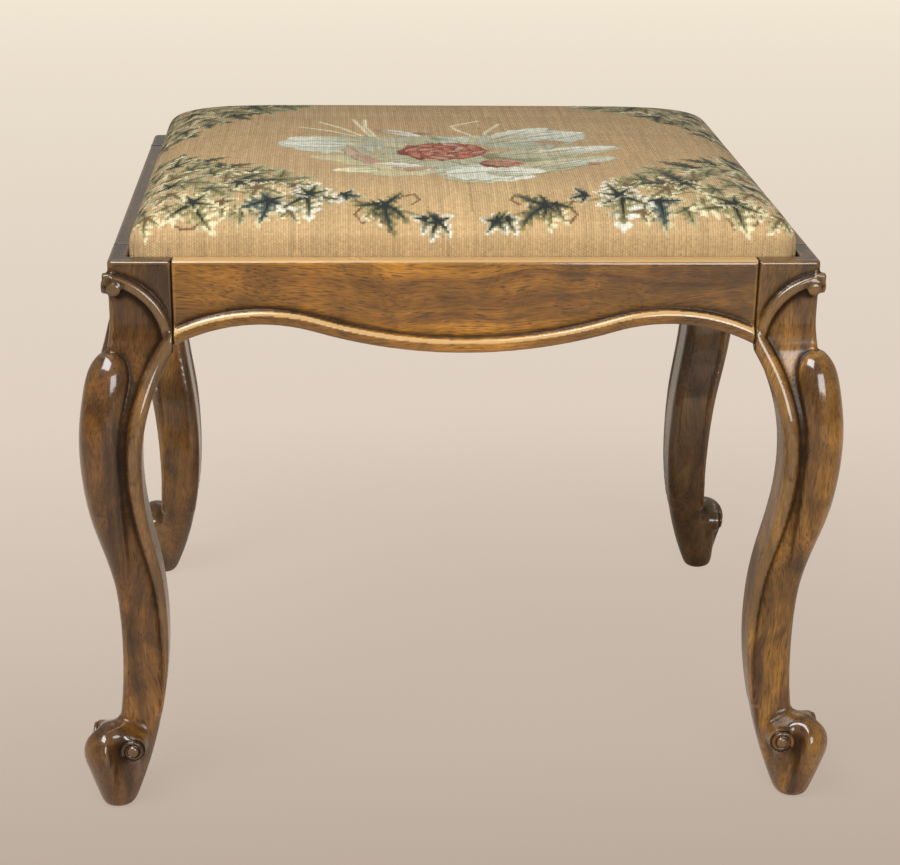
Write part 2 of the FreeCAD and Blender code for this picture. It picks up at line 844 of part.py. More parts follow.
def seat_long_member(label, turn):
    """Front or rear member, full length, mortised for the side members."""
    body = new_body(label)
    plan = sketch_on(body, "Plan_" + label, "XY_Plane", wood_bottom)
    inner = -seat_half_y + of("seat_member_width")
    draw_loop(plan, rectangle(-seat_half_x, -seat_half_y, seat_half_x, inner))
    pad(body, plan, "Sizes.seat_member_thickness")
    round_edges(
        body,
        lambda e: lies_at(e, "Y", -seat_half_y) and e.BoundBox.ZLength > 1,
        "Sizes.seat_corner_round - Sizes.cover_thickness",
    )
    round_edges(
        body,
        lambda e: lies_at(e, "Z", wood_top) and e.CenterOfMass.y < inner - 1 and abs(e.CenterOfMass.x) < 1,
        "Sizes.seat_edge_round",
    )
    mortise = sketch_on(body, "Mortise_" + label, "XZ_Plane", -inner)
    middle = wood_bottom + of("seat_member_thickness") / 2
    for side in (-1, 1):
        near, far = tenon_span()
        low = middle - of("tenon_thickness") / 2 - of("glue_line")
        high = middle + of("tenon_thickness") / 2 + of("glue_line")
        a, b = sorted((side * near, side * far))
        draw_loop(mortise, rectangle(a - of("glue_line"), low, b + of("glue_line"), high))
    pocket(body, mortise, "Sizes.tenon_length + Sizes.glue_line", reverse=True)
    body.Placement = Placement(Vector(0, 0, 0), Rotation(Vector(0, 0, 1), turn))
    node(body, label)


def tenon_span():
    """Distances from the middle line to the two edges of a tenon."""
    outer = seat_half_x - of("tenon_shoulder") - of("seat_edge_round")
    inner = seat_half_x - of("seat_member_width") + of("tenon_shoulder")
    return inner, outer


def seat_side_member(label, turn):
    """Side member between the long ones, with a tenon at each end."""
    body = new_body(label)
    plan = sketch_on(body, "Plan_" + label, "XY_Plane", wood_bottom)
    half = seat_half_y - of("seat_member_width")
    draw_loop(plan, rectangle(seat_half_x - of("seat_member_width"), -half, seat_half_x, half))
    pad(body, plan, "Sizes.seat_member_thickness")
    round_edges(
        body,
        lambda e: lies_at(e, "Z", wood_top) and lies_at(e, "X", seat_half_x),
        "Sizes.seat_edge_round",
    )
    tongue_plan = sketch_on(body, "Tenon_" + label, "XZ_Plane")
    near, far = tenon_span()
    middle = wood_bottom + of("seat_member_thickness") / 2
    low = middle - of("tenon_thickness") / 2
    draw_loop(tongue_plan, rectangle(near, low, far, low + of("tenon_thickness")))
    pad(body, tongue_plan, f"{2 * half} + 2 * Sizes.tenon_length", both_ways=True)
    body.Placement = Placement(Vector(0, 0, 0), Rotation(Vector(0, 0, 1), turn))
    node(body, label)


seat_long_member("seat_frame_front", 0)
seat_long_member("seat_frame_rear", 180)
seat_side_member("seat_frame_right", 0)
seat_side_member("seat_frame_left", 180)


# Webbing: strips that lie on the members and pass over and under each other between them.
strip = of("webbing_thickness")
weave = (strip + gap) / 2


def strip_middles(half, count):
    """Middles of evenly spaced strips across an opening of that half width."""
    pitch = 2 * half / count
    return [-half + pitch * (i + 0.5) for i in range(count)]


open_x = seat_half_x - of("seat_member_width")
open_y = seat_half_y - of("seat_member_width")
long_middles = strip_middles(open_y, 3)
cross_middles = strip_middles(open_x, 4)


def webbing(label, half_open, crossings, first_up, middle, along_x):
    """One strip. Its path is level on the members and steps over and under the strips it crosses."""
    level = wood_top + strip / 2
    reach = half_open + of("webbing_on_member")
    path = [(-reach, level), (-half_open, level)]
    up = first_up
    for crossing in crossings:
        height = level + (weave if up else -weave)
        path.append((crossing - of("webbing_width") / 2 - 2, height))
        path.append((crossing + of("webbing_width") / 2 + 2, height))
        up = not up
    path += [(half_open, level), (reach, level)]
    upper = [(x, z + strip / 2) for x, z in path]
    lower = [(x, z - strip / 2) for x, z in path]
    body = new_body(label)
    side = sketch_on(body, "Side_" + label, "XZ_Plane")
    draw_loop(side, polygon(lower + upper[::-1]))
    pad(body, side, "Sizes.webbing_width", both_ways=True)
    doc.recompute()
    if along_x:
        body.Placement = Placement(Vector(0, middle, 0), Rotation())
    else:
        body.Placement = Placement(Vector(middle, 0, 0), Rotation(Vector(0, 0, 1), 90))
    node(body, label)


for i, middle in enumerate(long_middles):
    webbing(f"webbing_long_{i + 1}", open_x, cross_middles, i % 2 == 0, middle, True)
for i, middle in enumerate(cross_middles):
    webbing(f"webbing_cross_{i + 1}", open_y, long_middles, i % 2 == 1, middle, False)


# Tacks stand on their points along +Z from the underside of the head, which is at z = 0.
TACK_FACE_SHARE = 0.6
TACK_SHANK_SHARE = 0.6
tack = turned(
    "tack",
    [
        (0, -of("tack_head_height")),
        (of("tack_head_radius") * TACK_FACE_SHARE, -of("tack_head_height")),
        (of("tack_head_radius"), 0),
        (of("tack_shank_radius"), 0),
        (of("tack_shank_radius"), of("tack_length") * TACK_SHANK_SHARE),
        (0, of("tack_length")),
    ],
)
downward = Rotation(Vector(1, 0, 0), 180)
webbing_tacks = []
tack_level = wood_top + strip
across = of("webbing_width") / 2 - 2 * of("tack_head_radius")
for side in (-1, 1):
    for offset in (-across, 0, across):
        for middle in long_middles:
            x = side * (open_x + of("webbing_on_member") / 2)
            webbing_tacks.append(Placement(Vector(x, middle + offset, tack_level), downward))
        for middle in cross_middles:
            y = side * (open_y + of("webbing_on_member") / 2)
            webbing_tacks.append(Placement(Vector(middle + offset, y, tack_level), downward))
group_of("webbing_tacks", tack, webbing_tacks)

hem_line = of("hem_width") - of("tack_from_hem")
cover_tacks = []
for half_run, half_across, turn in (
    (cover_half_x, cover_half_y, 0),
    (cover_half_y, cover_half_x, 90),
    (cover_half_x, cover_half_y, 180),
    (cover_half_y, cover_half_x, 270),
):
    reach = half_run - post - 2 * of("tack_head_radius")
    count = int(2 * reach / of("tack_spacing"))
    for i in range(count + 1):
        along = -reach + 2 * reach * i / count
        place = Placement(Vector(along, -half_across + hem_line, hem_bottom), Rotation())
        cover_tacks.append(Placement(Vector(), Rotation(Vector(0, 0, 1), turn)).multiply(place))
group_of("cover_tacks", tack, cover_tacks)


# Soft layers: lofts through rounded rectangles that follow the crown.
hessian_bottom = wood_top + strip + max(weave, of("tack_head_height")) + gap
hessian = doc.addObject("Part::Box", "Hessian")
hessian.Length = 2 * (seat_half_x - of("seat_edge_round"))
hessian.Width = 2 * (seat_half_y - of("seat_edge_round"))
hessian.setExpression("Height", "Sizes.hessian_thickness")
hessian.Placement = Placement(Vector(-hessian.Length / 2, -hessian.Width / 2, hessian_bottom), Rotation())
node(hessian, "hessian")


def rounded_rectangle(half_x, half_y, z, radius):
    k = 1 - math.sqrt(0.5)
    arcs = []
    for sx, sy in ((1, 1), (-1, 1), (-1, -1), (1, -1)):
        beside_x = Vector(sx * half_x, sy * (half_y - radius), z)
        beside_y = Vector(sx * (half_x - radius), sy * half_y, z)
        middle = Vector(sx * (half_x - radius * k), sy * (half_y - radius * k), z)
        ends = (beside_x, beside_y) if sx == sy else (beside_y, beside_x)
        arcs.append((ends[0], middle, ends[1]))
    edges = []
    for i, (start, middle, end) in enumerate(arcs):
        edges.append(Part.Arc(start, middle, end).toShape())
        edges.append(Part.LineSegment(end, arcs[(i + 1) % 4][0]).toShape())
    return Part.Wire(edges)


crown_start = top + of("crown_edge_height")
crown_rise = of("crown_height") - of("crown_edge_height")


def crown(share):
    """Height of the cover's outside at that share of the way in from its edge: full there, flat on top."""
    return crown_start + crown_rise * math.sqrt(1 - (1 - share) ** of("crown_fullness"))


# The shares of the way in where the crown is drawn, the least climb from one to the next, and how the corners
# open from the edge inwards.
CROWN_STATIONS = [0.004, 0.014, 0.032, 0.06, 0.1, 0.16, 0.24, 0.34, 0.46, 0.6, 0.74, 0.87]
CROWN_SMALLEST_STEP = 0.6
CROWN_CORNER_OPENING = 0.1
SHARPEST_CORNER = 1.0


def crown_points():
    """Points of the cover's outside from its edge inwards, as (inward, z, slope), the slope a unit vector.
    A point stays only where the innermost layer still climbs, so that all layers share the same points."""
    points = [(0.0, crown_start)]
    points += [(share * cover_half_y, crown(share)) for share in CROWN_STATIONS]
    kept = []
    reached = crown_start
    for i in range(1, len(points)):
        inward, z = points[i]
        after = points[min(i + 1, len(points) - 1)]
        slope = Vector(after[0] - points[i - 1][0], after[1] - points[i - 1][1], 0).normalize()
        level = z - wood_inset * slope.x
        if level > reached + CROWN_SMALLEST_STEP:
            kept.append((inward, z, slope))
            reached = level
    return kept


def crown_sections(inset, bottom):
    """Outlines of the cover's outside, moved in square to itself, from the given height to the top."""
    corner = max(SHARPEST_CORNER, of("seat_corner_round") - inset)
    outlines = [(inset, crown_start, corner)]
    for inward, z, slope in crown_points():
        wider = corner + CROWN_CORNER_OPENING * inward
        outlines.append((inward + inset * slope.y, z - inset * slope.x, wider))
    if bottom < crown_start:
        outlines = [(inset, bottom, corner), (inset, (bottom + crown_start) / 2, corner)] + outlines
    else:
        last = max(i for i, (d, z, radius) in enumerate(outlines) if z <= bottom)
        low, high = outlines[last], outlines[last + 1]
        share = (bottom - low[1]) / (high[1] - low[1])
        cut = tuple(a + share * (b - a) for a, b in zip(low, high))
        outlines = [cut] + [o for o in outlines if o[1] > bottom + CROWN_SMALLEST_STEP]
    return [rounded_rectangle(cover_half_x - d, cover_half_y - d, z, radius) for d, z, radius in outlines]


def crown_walls(sections, inward):
    """The sides and top of the loft through the sections, facing out, or in for the inside of a layer."""
    faces = []
    for face in Part.makeLoft(sections, True, True).Faces:
        if face.BoundBox.ZMax > sections[0].BoundBox.ZMin + NEARLY:
            if inward:
                face.reverse()
            faces.append(face)
    return faces


def flat_ring(outline, hole, faces_up):
    edge = hole.copy()
    edge.reverse()
    face = Part.Face([outline, edge])
    if (face.normalAt(0, 0).z > 0) != faces_up:
        face.reverse()
    return face


def closed(faces):
    skin = Part.makeCompound(faces)
    skin.sewShape()
    return Part.makeSolid(skin.Shells[0])


stuffing_bottom = hessian_bottom + of("hessian_thickness") + gap
stuffing = doc.addObject("Part::Feature", "Stuffing")
stuffing.Shape = Part.makeLoft(crown_sections(wood_inset, stuffing_bottom), True, True)
node(stuffing, "horsehair_stuffing")

calico = doc.addObject("Part::Feature", "Calico")
outside = crown_sections(calico_inset, wood_bottom)
inside = crown_sections(calico_inset + of("calico_thickness"), wood_bottom)
calico.Shape = closed(
    crown_walls(outside, False) + crown_walls(inside, True) + [flat_ring(outside[0], inside[0], False)]
)
node(calico, "calico")

# The cover goes down over the sides of the seat frame and is turned under it in a flat hem.
def hem_outline(half_x, half_y, z):
    corners = [Vector(x * half_x, y * half_y, z) for x, y in ((1, 1), (-1, 1), (-1, -1), (1, -1), (1, 1))]
    return Part.makePolygon(corners)


cover = doc.addObject("Part::Feature", "Cover")
hem_top = hem_bottom + of("cover_thickness")
outside = crown_sections(0.0, hem_bottom)
inside = crown_sections(of("cover_thickness"), hem_top)
hem_x = cover_half_x - of("hem_width")
hem_y = cover_half_y - of("hem_width")
hem_edge = hem_outline(hem_x, hem_y, hem_bottom)
hem_upper_edge = hem_outline(hem_x, hem_y, hem_top)
hem_wall = Part.makeLoft([hem_edge, hem_upper_edge], False, True).Faces
for face in hem_wall:
    middle = face.CenterOfMass
    if face.normalAt(0, 0).dot(Vector(middle.x, middle.y, 0)) > 0:
        face.reverse()
cover.Shape = closed(
    crown_walls(outside, False)
    + crown_walls(inside, True)
    + hem_wall
    + [flat_ring(outside[0], hem_edge, False), flat_ring(inside[0], hem_upper_edge, True)]
)
node(cover, "needlework_cover")

doc.recompute()
faults = [o.Name for o in doc.Objects if "Invalid" in o.State or "Error" in o.State]
faults += [n.Label for n in nodes if n.Shape.isNull() or not n.Shape.isValid()]
if faults:
    raise RuntimeError("not built: " + ", ".join(faults))
os.makedirs("parts", exist_ok=True)
for piece in nodes:
    piece.Shape.exportStep(os.path.join("parts", piece.Label + ".step"))
    print(piece.Label, len(piece.Shape.Solids), round(piece.Shape.Volume))
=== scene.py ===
import math

import bmesh
import bpy
import numpy as np
from mathutils import Matrix, Vector


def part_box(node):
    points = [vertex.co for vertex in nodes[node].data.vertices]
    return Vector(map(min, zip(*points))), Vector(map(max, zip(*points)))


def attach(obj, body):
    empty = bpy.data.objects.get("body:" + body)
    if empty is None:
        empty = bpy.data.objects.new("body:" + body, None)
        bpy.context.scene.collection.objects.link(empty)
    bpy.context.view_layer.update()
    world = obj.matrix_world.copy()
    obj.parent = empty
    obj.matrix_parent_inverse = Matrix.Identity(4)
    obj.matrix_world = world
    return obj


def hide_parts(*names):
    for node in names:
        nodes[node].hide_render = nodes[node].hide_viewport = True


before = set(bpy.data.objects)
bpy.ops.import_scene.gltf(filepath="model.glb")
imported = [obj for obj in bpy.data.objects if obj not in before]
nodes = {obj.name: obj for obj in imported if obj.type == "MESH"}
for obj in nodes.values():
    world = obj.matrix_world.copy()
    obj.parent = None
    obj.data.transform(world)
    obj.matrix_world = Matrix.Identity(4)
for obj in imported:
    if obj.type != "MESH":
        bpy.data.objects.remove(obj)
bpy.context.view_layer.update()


# Walnut: the seasoned, waxed and polished wood of the legs and rails. Golden brown with darker growth
# streaks and short dark pores along the grain, black wax and painted shade in the hollows, paler rubbed
# arrises, and a painted highlight on the front rail's top edge and bead.
def linear(colour):
    """An sRGB hex colour as linear RGBA."""
    parts = [int(colour[i:i + 2], 16) / 255 for i in (1, 3, 5)]
    return [c / 12.92 if c <= 0.04045 else ((c + 0.055) / 1.055) ** 2.4 for c in parts] + [1.0]


def set_inputs(material, node, inputs):
    """Sets the inputs of a node; one that is given a socket is linked to it."""
    for name, value in inputs.items():
        if isinstance(value, bpy.types.NodeSocket):
            material.node_tree.links.new(value, node.inputs[name])
        else:
            node.inputs[name].default_value = value


def add(material, kind, inputs=None, **settings):
    """Adds a node with its settings and its inputs."""
    node = material.node_tree.nodes.new(kind)
    for name, value in settings.items():
        setattr(node, name, value)
    set_inputs(material, node, inputs or {})
    return node


def new_material(name):
    """A material with its node tree, and its shader."""
    material = bpy.data.materials.new(name)
    material.use_nodes = True
    return material, material.node_tree.nodes["Principled BSDF"]


# How dark a board is at its joints, as a share of its own colour.
joint_depth = 0.42
GRAIN_TURN = {"x": (0, 0, 0), "y": (0, 0, math.radians(90)), "z": (0, math.radians(90), 0)}
# The sockets of a Mix node that mixes two colours.
MIX_FACTOR, MIX_A, MIX_B, MIX_RESULT = 0, 6, 7, 2


def polished_walnut(board, along, pale, deep, fleck_share, joint_middle, joint_from, joint_to):
    """Walnut of one board: its grain's axis, its streaks, how much its pores show, and where along the
    grain it is palest and deepens to its joints."""
    material, shader = new_material("walnut_polished_" + board)
    place = add(material, "ShaderNodeTexCoord").outputs["Object"]
    grain = add(material, "ShaderNodeMapping", {"Vector": place, "Rotation": GRAIN_TURN[along]}).outputs[0]
    wander = add(material, "ShaderNodeTexNoise", {"Vector": grain, "Scale": 6.0, "Detail": 2.0})
    swayed = add(
        material, "ShaderNodeVectorMath", {0: wander.outputs["Color"], "Scale": 0.05}, operation="SCALE"
    )
    lines = add(material, "ShaderNodeVectorMath", {0: grain, 1: swayed.outputs[0]}).outputs[0]
    # Growth streaks about 17 mm apart, flecks 10 mm long and 1.1 mm wide, and pores 14 mm long and 1 mm
    # wide. Flecks and pores are drawn coarser than life, so that they show.
    rings = add(material, "ShaderNodeMapping", {"Vector": lines, "Scale": (5.0, 60.0, 60.0)}).outputs[0]
    fibres = add(material, "ShaderNodeMapping", {"Vector": lines, "Scale": (100.0, 900.0, 900.0)}).outputs[0]
    pores = add(material, "ShaderNodeMapping", {"Vector": lines, "Scale": (70.0, 1000.0, 1000.0)}).outputs[0]
    ring = add(
        material, "ShaderNodeTexNoise", {"Vector": rings, "Scale": 1.0, "Detail": 4.0, "Distortion": 0.7}
    )
    fibre = add(material, "ShaderNodeTexNoise", {"Vector": fibres, "Scale": 1.0, "Detail": 3.0})
    pore = add(material, "ShaderNodeTexNoise", {"Vector": pores, "Scale": 1.0, "Detail": 1.0})
    # Cloudy changes of tone about 60 mm across.
    cloud = add(
        material, "ShaderNodeTexNoise", {"Vector": lines, "Scale": 16.0, "Detail": 5.0, "Distortion": 1.6}
    )
    streak = add(
        material,
        "ShaderNodeMapRange",
        {"Value": ring.outputs["Fac"], "From Min": 0.34, "From Max": 0.7},
    )
    body = add(
        material,
        "ShaderNodeMix",
        {MIX_FACTOR: streak.outputs[0], MIX_A: linear(pale), MIX_B: linear(deep)},
        data_type="RGBA",
    )
    drift = add(
        material,
        "ShaderNodeMapRange",
        {"Value": cloud.outputs["Fac"], "From Min": 0.32, "From Max": 0.68, "To Min": 0.62, "To Max": 1.34},
    )
    thread = add(
        material,
        "ShaderNodeMapRange",
        {"Value": fibre.outputs["Fac"], "From Min": 0.3, "From Max": 0.7, "To Min": 0.66, "To Max": 1.32},
    )
    length = add(material, "ShaderNodeSeparateXYZ", {0: grain}).outputs[0]
    offset = add(material, "ShaderNodeMath", {0: length, 1: joint_middle}, operation="SUBTRACT").outputs[0]
    reach = add(material, "ShaderNodeMath", {0: offset}, operation="ABSOLUTE").outputs[0]
    joint = add(
        material,
        "ShaderNodeMapRange",
        {"Value": reach, "From Min": joint_from, "From Max": joint_to, "To Min": 1.0, "To Max": joint_depth},
    )
    mottle = add(
        material, "ShaderNodeMath", {0: drift.outputs[0], 1: thread.outputs[0]}, operation="MULTIPLY"
    )
    shade = add(
        material, "ShaderNodeMath", {0: mottle.outputs[0], 1: joint.outputs[0]}, operation="MULTIPLY"
    )
    combed = add(
        material,
        "ShaderNodeVectorMath",
        {0: body.outputs[MIX_RESULT], "Scale": shade.outputs[0]},
        operation="SCALE",
    )
    fleck = add(
        material,
        "ShaderNodeMapRange",
        {"Value": pore.outputs["Fac"], "From Min": 0.57, "From Max": 0.68, "To Max": fleck_share},
    )
    flecked = add(
        material,
        "ShaderNodeMix",
        {MIX_FACTOR: fleck.outputs[0], MIX_A: combed.outputs[0], MIX_B: linear("#2c1a0b")},
        data_type="RGBA",
    )
    hollow = add(material, "ShaderNodeAttribute", attribute_name="hollow").outputs["Fac"]
    # Darker towards black in the hollows: wax in the carving, with painted shade in the recesses.
    wax_and_shade = add(
        material, "ShaderNodeMapRange", {"Value": hollow, "From Min": 0.08, "From Max": 0.9, "To Max": 0.88}
    )
    waxed_and_shaded = add(
        material,
        "ShaderNodeMix",
        {MIX_FACTOR: wax_and_shade.outputs[0], MIX_A: flecked.outputs[MIX_RESULT], MIX_B: linear("#1a0f07")},
        data_type="RGBA",
    )
    # Paler where the surface stands out: lightly rubbed arrises, and the painted highlight on the front
    # rail.
    rub = add(
        material, "ShaderNodeMapRange", {"Value": hollow, "From Min": -0.4, "From Max": -1.0, "To Max": 0.85}
    )
    rubbed = add(
        material,
        "ShaderNodeMix",
        {MIX_FACTOR: rub.outputs[0], MIX_A: waxed_and_shaded.outputs[MIX_RESULT], MIX_B: linear("#d6b078")},
        data_type="RGBA",
    )
    gloss = add(
        material,
        "ShaderNodeMapRange",
        {"Value": cloud.outputs["Fac"], "From Min": 0.3, "From Max": 0.7, "To Min": 0.22, "To Max": 0.36},
    )
    polish = add(
        material,
        "ShaderNodeMapRange",
        {"Value": hollow, "From Min": 0.05, "From Max": 0.5, "To Min": 0.95, "To Max": 0.03},
    )
    dips = add(material, "ShaderNodeMath", {0: fleck.outputs[0], 1: -1.0}, operation="MULTIPLY")
    relief = add(
        material,
        "ShaderNodeBump",
        {"Height": dips.outputs[0], "Strength": 0.3, "Distance": 0.0004},
    )
    finish = {
        "Base Color": rubbed.outputs[MIX_RESULT],
        "Roughness": gloss.outputs[0],
        "Normal": relief.outputs[0],
        "Coat Weight": polish.outputs[0],
        "Specular IOR Level": 0.2,
        "Coat Roughness": 0.1,
        "Coat IOR": 1.65,
    }
    set_inputs(material, shader, finish)
    return material


# Each board differs a little: the way its grain runs, its streaks, its pores, the place along it where it
# is palest, and how far from there, in metres, the wood begins to deepen and is deepest.
BOARDS = {
    "rail_front": ("x", "#a87122", "#643e13", 0.65, -0.04, 0.05, 0.21),
    "rail_rear": ("x", "#966726", "#613d17", 0.6, 0.0, 0.13, 0.25),
    "rail_left": ("y", "#684821", "#452c15", 0.5, 0.0, 0.1, 0.2),
    "rail_right": ("y", "#8a5f22", "#573716", 0.5, 0.0, 0.1, 0.2),
    "leg_front_left": ("z", "#815523", "#2f1c0b", 0.65, 0.0, 0.34, 0.4),
    "leg_front_right": ("z", "#9d6d29", "#4a2e13", 0.65, 0.0, 0.36, 0.42),
    "leg_rear_left": ("z", "#754f1f", "#3c260f", 0.55, 0.0, 0.33, 0.39),
    "leg_rear_right": ("z", "#6e4b1c", "#38230d", 0.55, 0.0, 0.33, 0.39),
}
walnut = {board: polished_walnut(board, *figure) for board, figure in BOARDS.items()}


# Legs: four cabriole legs, each carved from one piece of walnut down to a scroll foot with a volute on both
# outer faces. The post stands behind the rail ends and takes their dowels; arrises are rubbed soft with use.
CORNERS = {"front_left": (-1, -1), "front_right": (1, -1), "rear_left": (-1, 1), "rear_right": (1, 1)}
frame_half = Vector((0.260, 0.212, 0.0))
# A volute: its middle from the post's outer corner, its radius, its eye's radius, how deep its carving goes
# and the height either side of its face that is darkened ground, and how dark its wax and painted shade are.
volute_centre = Vector((-0.006, 0.0252, 0.054))
volute_reach = 0.0102
volute_eye = 0.0043
volute_depth = 0.0045
volute_ground = 0.0022
volute_wax_and_shade = 0.75
# Its spiral ridge: the bar's radius, its turns, where it starts, the share of its size left at the eye, and
# its sides and its steps a turn.
volute_ridge = 0.0018
volute_turns = 1.5
volute_start = math.radians(115)
volute_shrink = 0.52
ridge_sides = 10
ridge_steps = 24
# The grid that legs are rebuilt on, how far each rubbing goes, and how often the whole leg, the foot and the
# rims of its volutes are rubbed.
carving_cell = 0.00115
rub_share = 0.5
leg_rub = 2
foot_top = 0.074
foot_rub = 90
rim_width = 0.0028
rim_rub = 10


def loose_joined(name):
    """A bmesh of a CAD node with its loose triangles joined."""
    bm = bmesh.new()
    bm.from_mesh(nodes[name].data)
    bmesh.ops.remove_doubles(bm, verts=bm.verts, dist=1e-6)
    return bm


def volute_scroll():
    """The spiral ridge of one volute, as a bar that winds in and thins towards the eye."""
    bm = bmesh.new()
    outmost = Matrix.Translation((0, 0, volute_reach - volute_ridge))
    start = Matrix.Translation(volute_centre) @ Matrix.Rotation(volute_start, 4, "Y") @ outmost
    section = start @ Matrix.Rotation(math.radians(90), 4, "Y")
    bmesh.ops.create_circle(bm, cap_ends=True, segments=ridge_sides, radius=volute_ridge, matrix=section)
    face = bm.faces[:][0]
    steps = int(volute_turns * ridge_steps)
    turn = Matrix.Rotation(-2 * math.pi * volute_turns / steps, 3, "Y")
    shrink = volute_shrink ** (1 / steps)
    for step in range(steps):
        made = bmesh.ops.extrude_face_region(bm, geom=[face])["geom"]
        if step:
            bmesh.ops.delete(bm, geom=[face], context="FACES_ONLY")
        moved = [v for v in made if isinstance(v, bmesh.types.BMVert)]
        bmesh.ops.rotate(bm, cent=volute_centre, matrix=turn, verts=moved)
        bmesh.ops.scale(bm, vec=(shrink,) * 3, space=Matrix.Translation(-volute_centre), verts=moved)
        face = next(f for f in made if isinstance(f, bmesh.types.BMFace))
    mesh = bpy.data.meshes.new("volute_scroll")
    bm.to_mesh(mesh)
    bm.free()
    return mesh


def new_piece(name, bm):
    """A new object with the mesh of a bmesh."""
    mesh = bpy.data.meshes.new(name)
    bm.to_mesh(mesh)
    bm.free()
    piece = bpy.data.objects.new(name, mesh)
    bpy.context.scene.collection.objects.link(piece)
    return piece


def apply_modifiers(piece):
    """Gives the piece the mesh that its modifiers make, and removes them."""
    view = bpy.context.evaluated_depsgraph_get()
    made = bpy.data.meshes.new_from_object(piece.evaluated_get(view))
    piece.modifiers.clear()
    piece.data = made


def positions(mesh):
    at = np.empty(len(mesh.vertices) * 3)
    mesh.vertices.foreach_get("co", at)
    return at.reshape(-1, 3)


def facings(mesh):
    """The way that the surface faces at each point."""
    facing = np.empty(len(mesh.vertices) * 3, dtype=np.float32)
    mesh.vertex_normals.foreach_get("vector", facing)
    return facing.reshape(-1, 3)


def hollows(piece):
    """How far each point is marked as lying in a hollow (+) or standing out (-)."""
    hollow = np.empty(len(piece.data.vertices))
    piece.data.attributes["hollow"].data.foreach_get("value", hollow)
    return hollow


def set_hollows(piece, hollow):
    piece.data.attributes["hollow"].data.foreach_set("value", hollow)


def rub_down(piece, cell, passes):
    """Rebuilds a wooden piece on an even grid and rubs its arrises soft."""
    grid = piece.modifiers.new("grid", "REMESH")
    grid.mode = "VOXEL"
    grid.voxel_size = cell
    rub = piece.modifiers.new("rub", "SMOOTH")
    rub.factor = rub_share
    rub.iterations = passes
    apply_modifiers(piece)
    piece.data.polygons.foreach_set("use_smooth", [True] * len(piece.data.polygons))


# Widths over which hollows are told: how many times the surface is averaged, the depth that counts as full,
# and the least that is written, so that arrises are only lightly rubbed.
HOLLOWS = ((8, 0.0006, -0.48), (70, 0.004, 0.0))


def mark_hollows(piece):
    """Writes how far each point lies below (+) or above (-) the surface around it, for wax and painted
    shade in hollows, and for wear.
    """
    mesh = piece.data
    count = len(mesh.vertices)
    at = positions(mesh)
    facing = facings(mesh)
    ends = np.empty(len(mesh.edges) * 2, dtype=np.int32)
    mesh.edges.foreach_get("vertices", ends)
    one, other = ends.reshape(-1, 2).T
    shared = np.maximum(np.bincount(one, minlength=count) + np.bincount(other, minlength=count), 1)
    around = at
    done = 0
    depth = np.zeros(count)
    for passes, full, least in HOLLOWS:
        for _ in range(passes - done):
            total = [np.bincount(one, c[other], count) + np.bincount(other, c[one], count) for c in around.T]
            around = np.stack(total, axis=1) / shared[:, None]
        done = passes
        depth += np.clip(np.einsum("ij,ij->i", around - at, facing) / full, least, 1)
    mesh.attributes.new("hollow", "FLOAT", "POINT")
    set_hollows(piece, np.clip(depth, -1, 1))


def stands_for(piece, node, body, material):
    """Finishes a piece that takes the place of a CAD node."""
    piece.data.materials.clear()
    piece.data.materials.append(material)
    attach(piece, body)
    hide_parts(node)


scroll = volute_scroll()
swapped = Matrix(((0, 1, 0, 0), (1, 0, 0, 0), (0, 0, 1, 0), (0, 0, 0, 1)))


def about_volute(at, turned):
    """Heights of points over the face of a volute, and their distances from its axis."""
    outward = np.array(turned.to_3x3() @ Vector((0, 1, 0)))
    away = at - np.array(turned @ volute_centre)
    height = away @ outward
    return height, np.linalg.norm(away - height[:, None] * outward, axis=1)


def round_foot(piece, place):
    """Rubs the foot round, apart from its volutes."""
    at = positions(piece.data)
    foot = at[:, 2] < foot_top
    rubbed = foot.copy()
    rim = np.zeros(len(at), dtype=bool)
    for turned in (place, place @ swapped):
        height, from_axis = about_volute(at, turned)
        rubbed &= (from_axis > volute_reach + carving_cell) | (np.abs(height) > volute_depth)
        rim |= foot & (np.abs(from_axis - volute_reach - carving_cell) < rim_width)
    bm = bmesh.new()
    bm.from_mesh(piece.data)
    bm.verts.ensure_lookup_table()
    for passes, chosen in ((foot_rub, rubbed), (rim_rub, rim)):
        verts = [bm.verts[i] for i in np.flatnonzero(chosen)]
        for _ in range(passes):
            bmesh.ops.smooth_vert(
                bm, verts=verts, factor=rub_share, use_axis_x=True, use_axis_y=True, use_axis_z=True
            )
    bm.to_mesh(piece.data)
    bm.free()


def carve_volutes(piece, place):
    """Darkens a leg's two volute grounds with wax and painted shade, and lays the spiral ridge on them."""
    bm = bmesh.new()
    hollow = hollows(piece)
    for turned in (place, place @ swapped):
        height, from_axis = about_volute(positions(piece.data), turned)
        on_ground = (np.abs(height) < volute_ground) & (from_axis > volute_eye) & (from_axis < volute_reach)
        # The face between the eye and the rim is darkened: wax, with painted shade beside the ridge.
        hollow[on_ground] = volute_wax_and_shade
        ridge = scroll.copy()
        ridge.transform(turned)
        bm.from_mesh(ridge)
    set_hollows(piece, hollow)
    bmesh.ops.recalc_face_normals(bm, faces=bm.faces)
    bm.from_mesh(piece.data)
    bm.to_mesh(piece.data)
    bm.free()
    piece.data.polygons.foreach_set("use_smooth", [True] * len(piece.data.polygons))


# The dark line of wax where a leg and a rail meet: how far it reaches from the rail's end, and its darkness.
joint_reach = 0.0009
joint_wax = 0.62


def wax_joint(piece, rail):
    """Darkens the line where a leg and a rail meet."""
    at = positions(piece.data)
    low, high = (np.array(corner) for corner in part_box("rail_" + rail))
    run = 0 if rail in ("front", "rear") else 1
    near = np.minimum(np.abs(at[:, run] - low[run]), np.abs(at[:, run] - high[run])) < joint_reach
    near &= ((at > low - joint_reach) & (at < high + joint_reach)).all(axis=1)
    hollow = hollows(piece)
    hollow[near] = joint_wax
    set_hollows(piece, hollow)


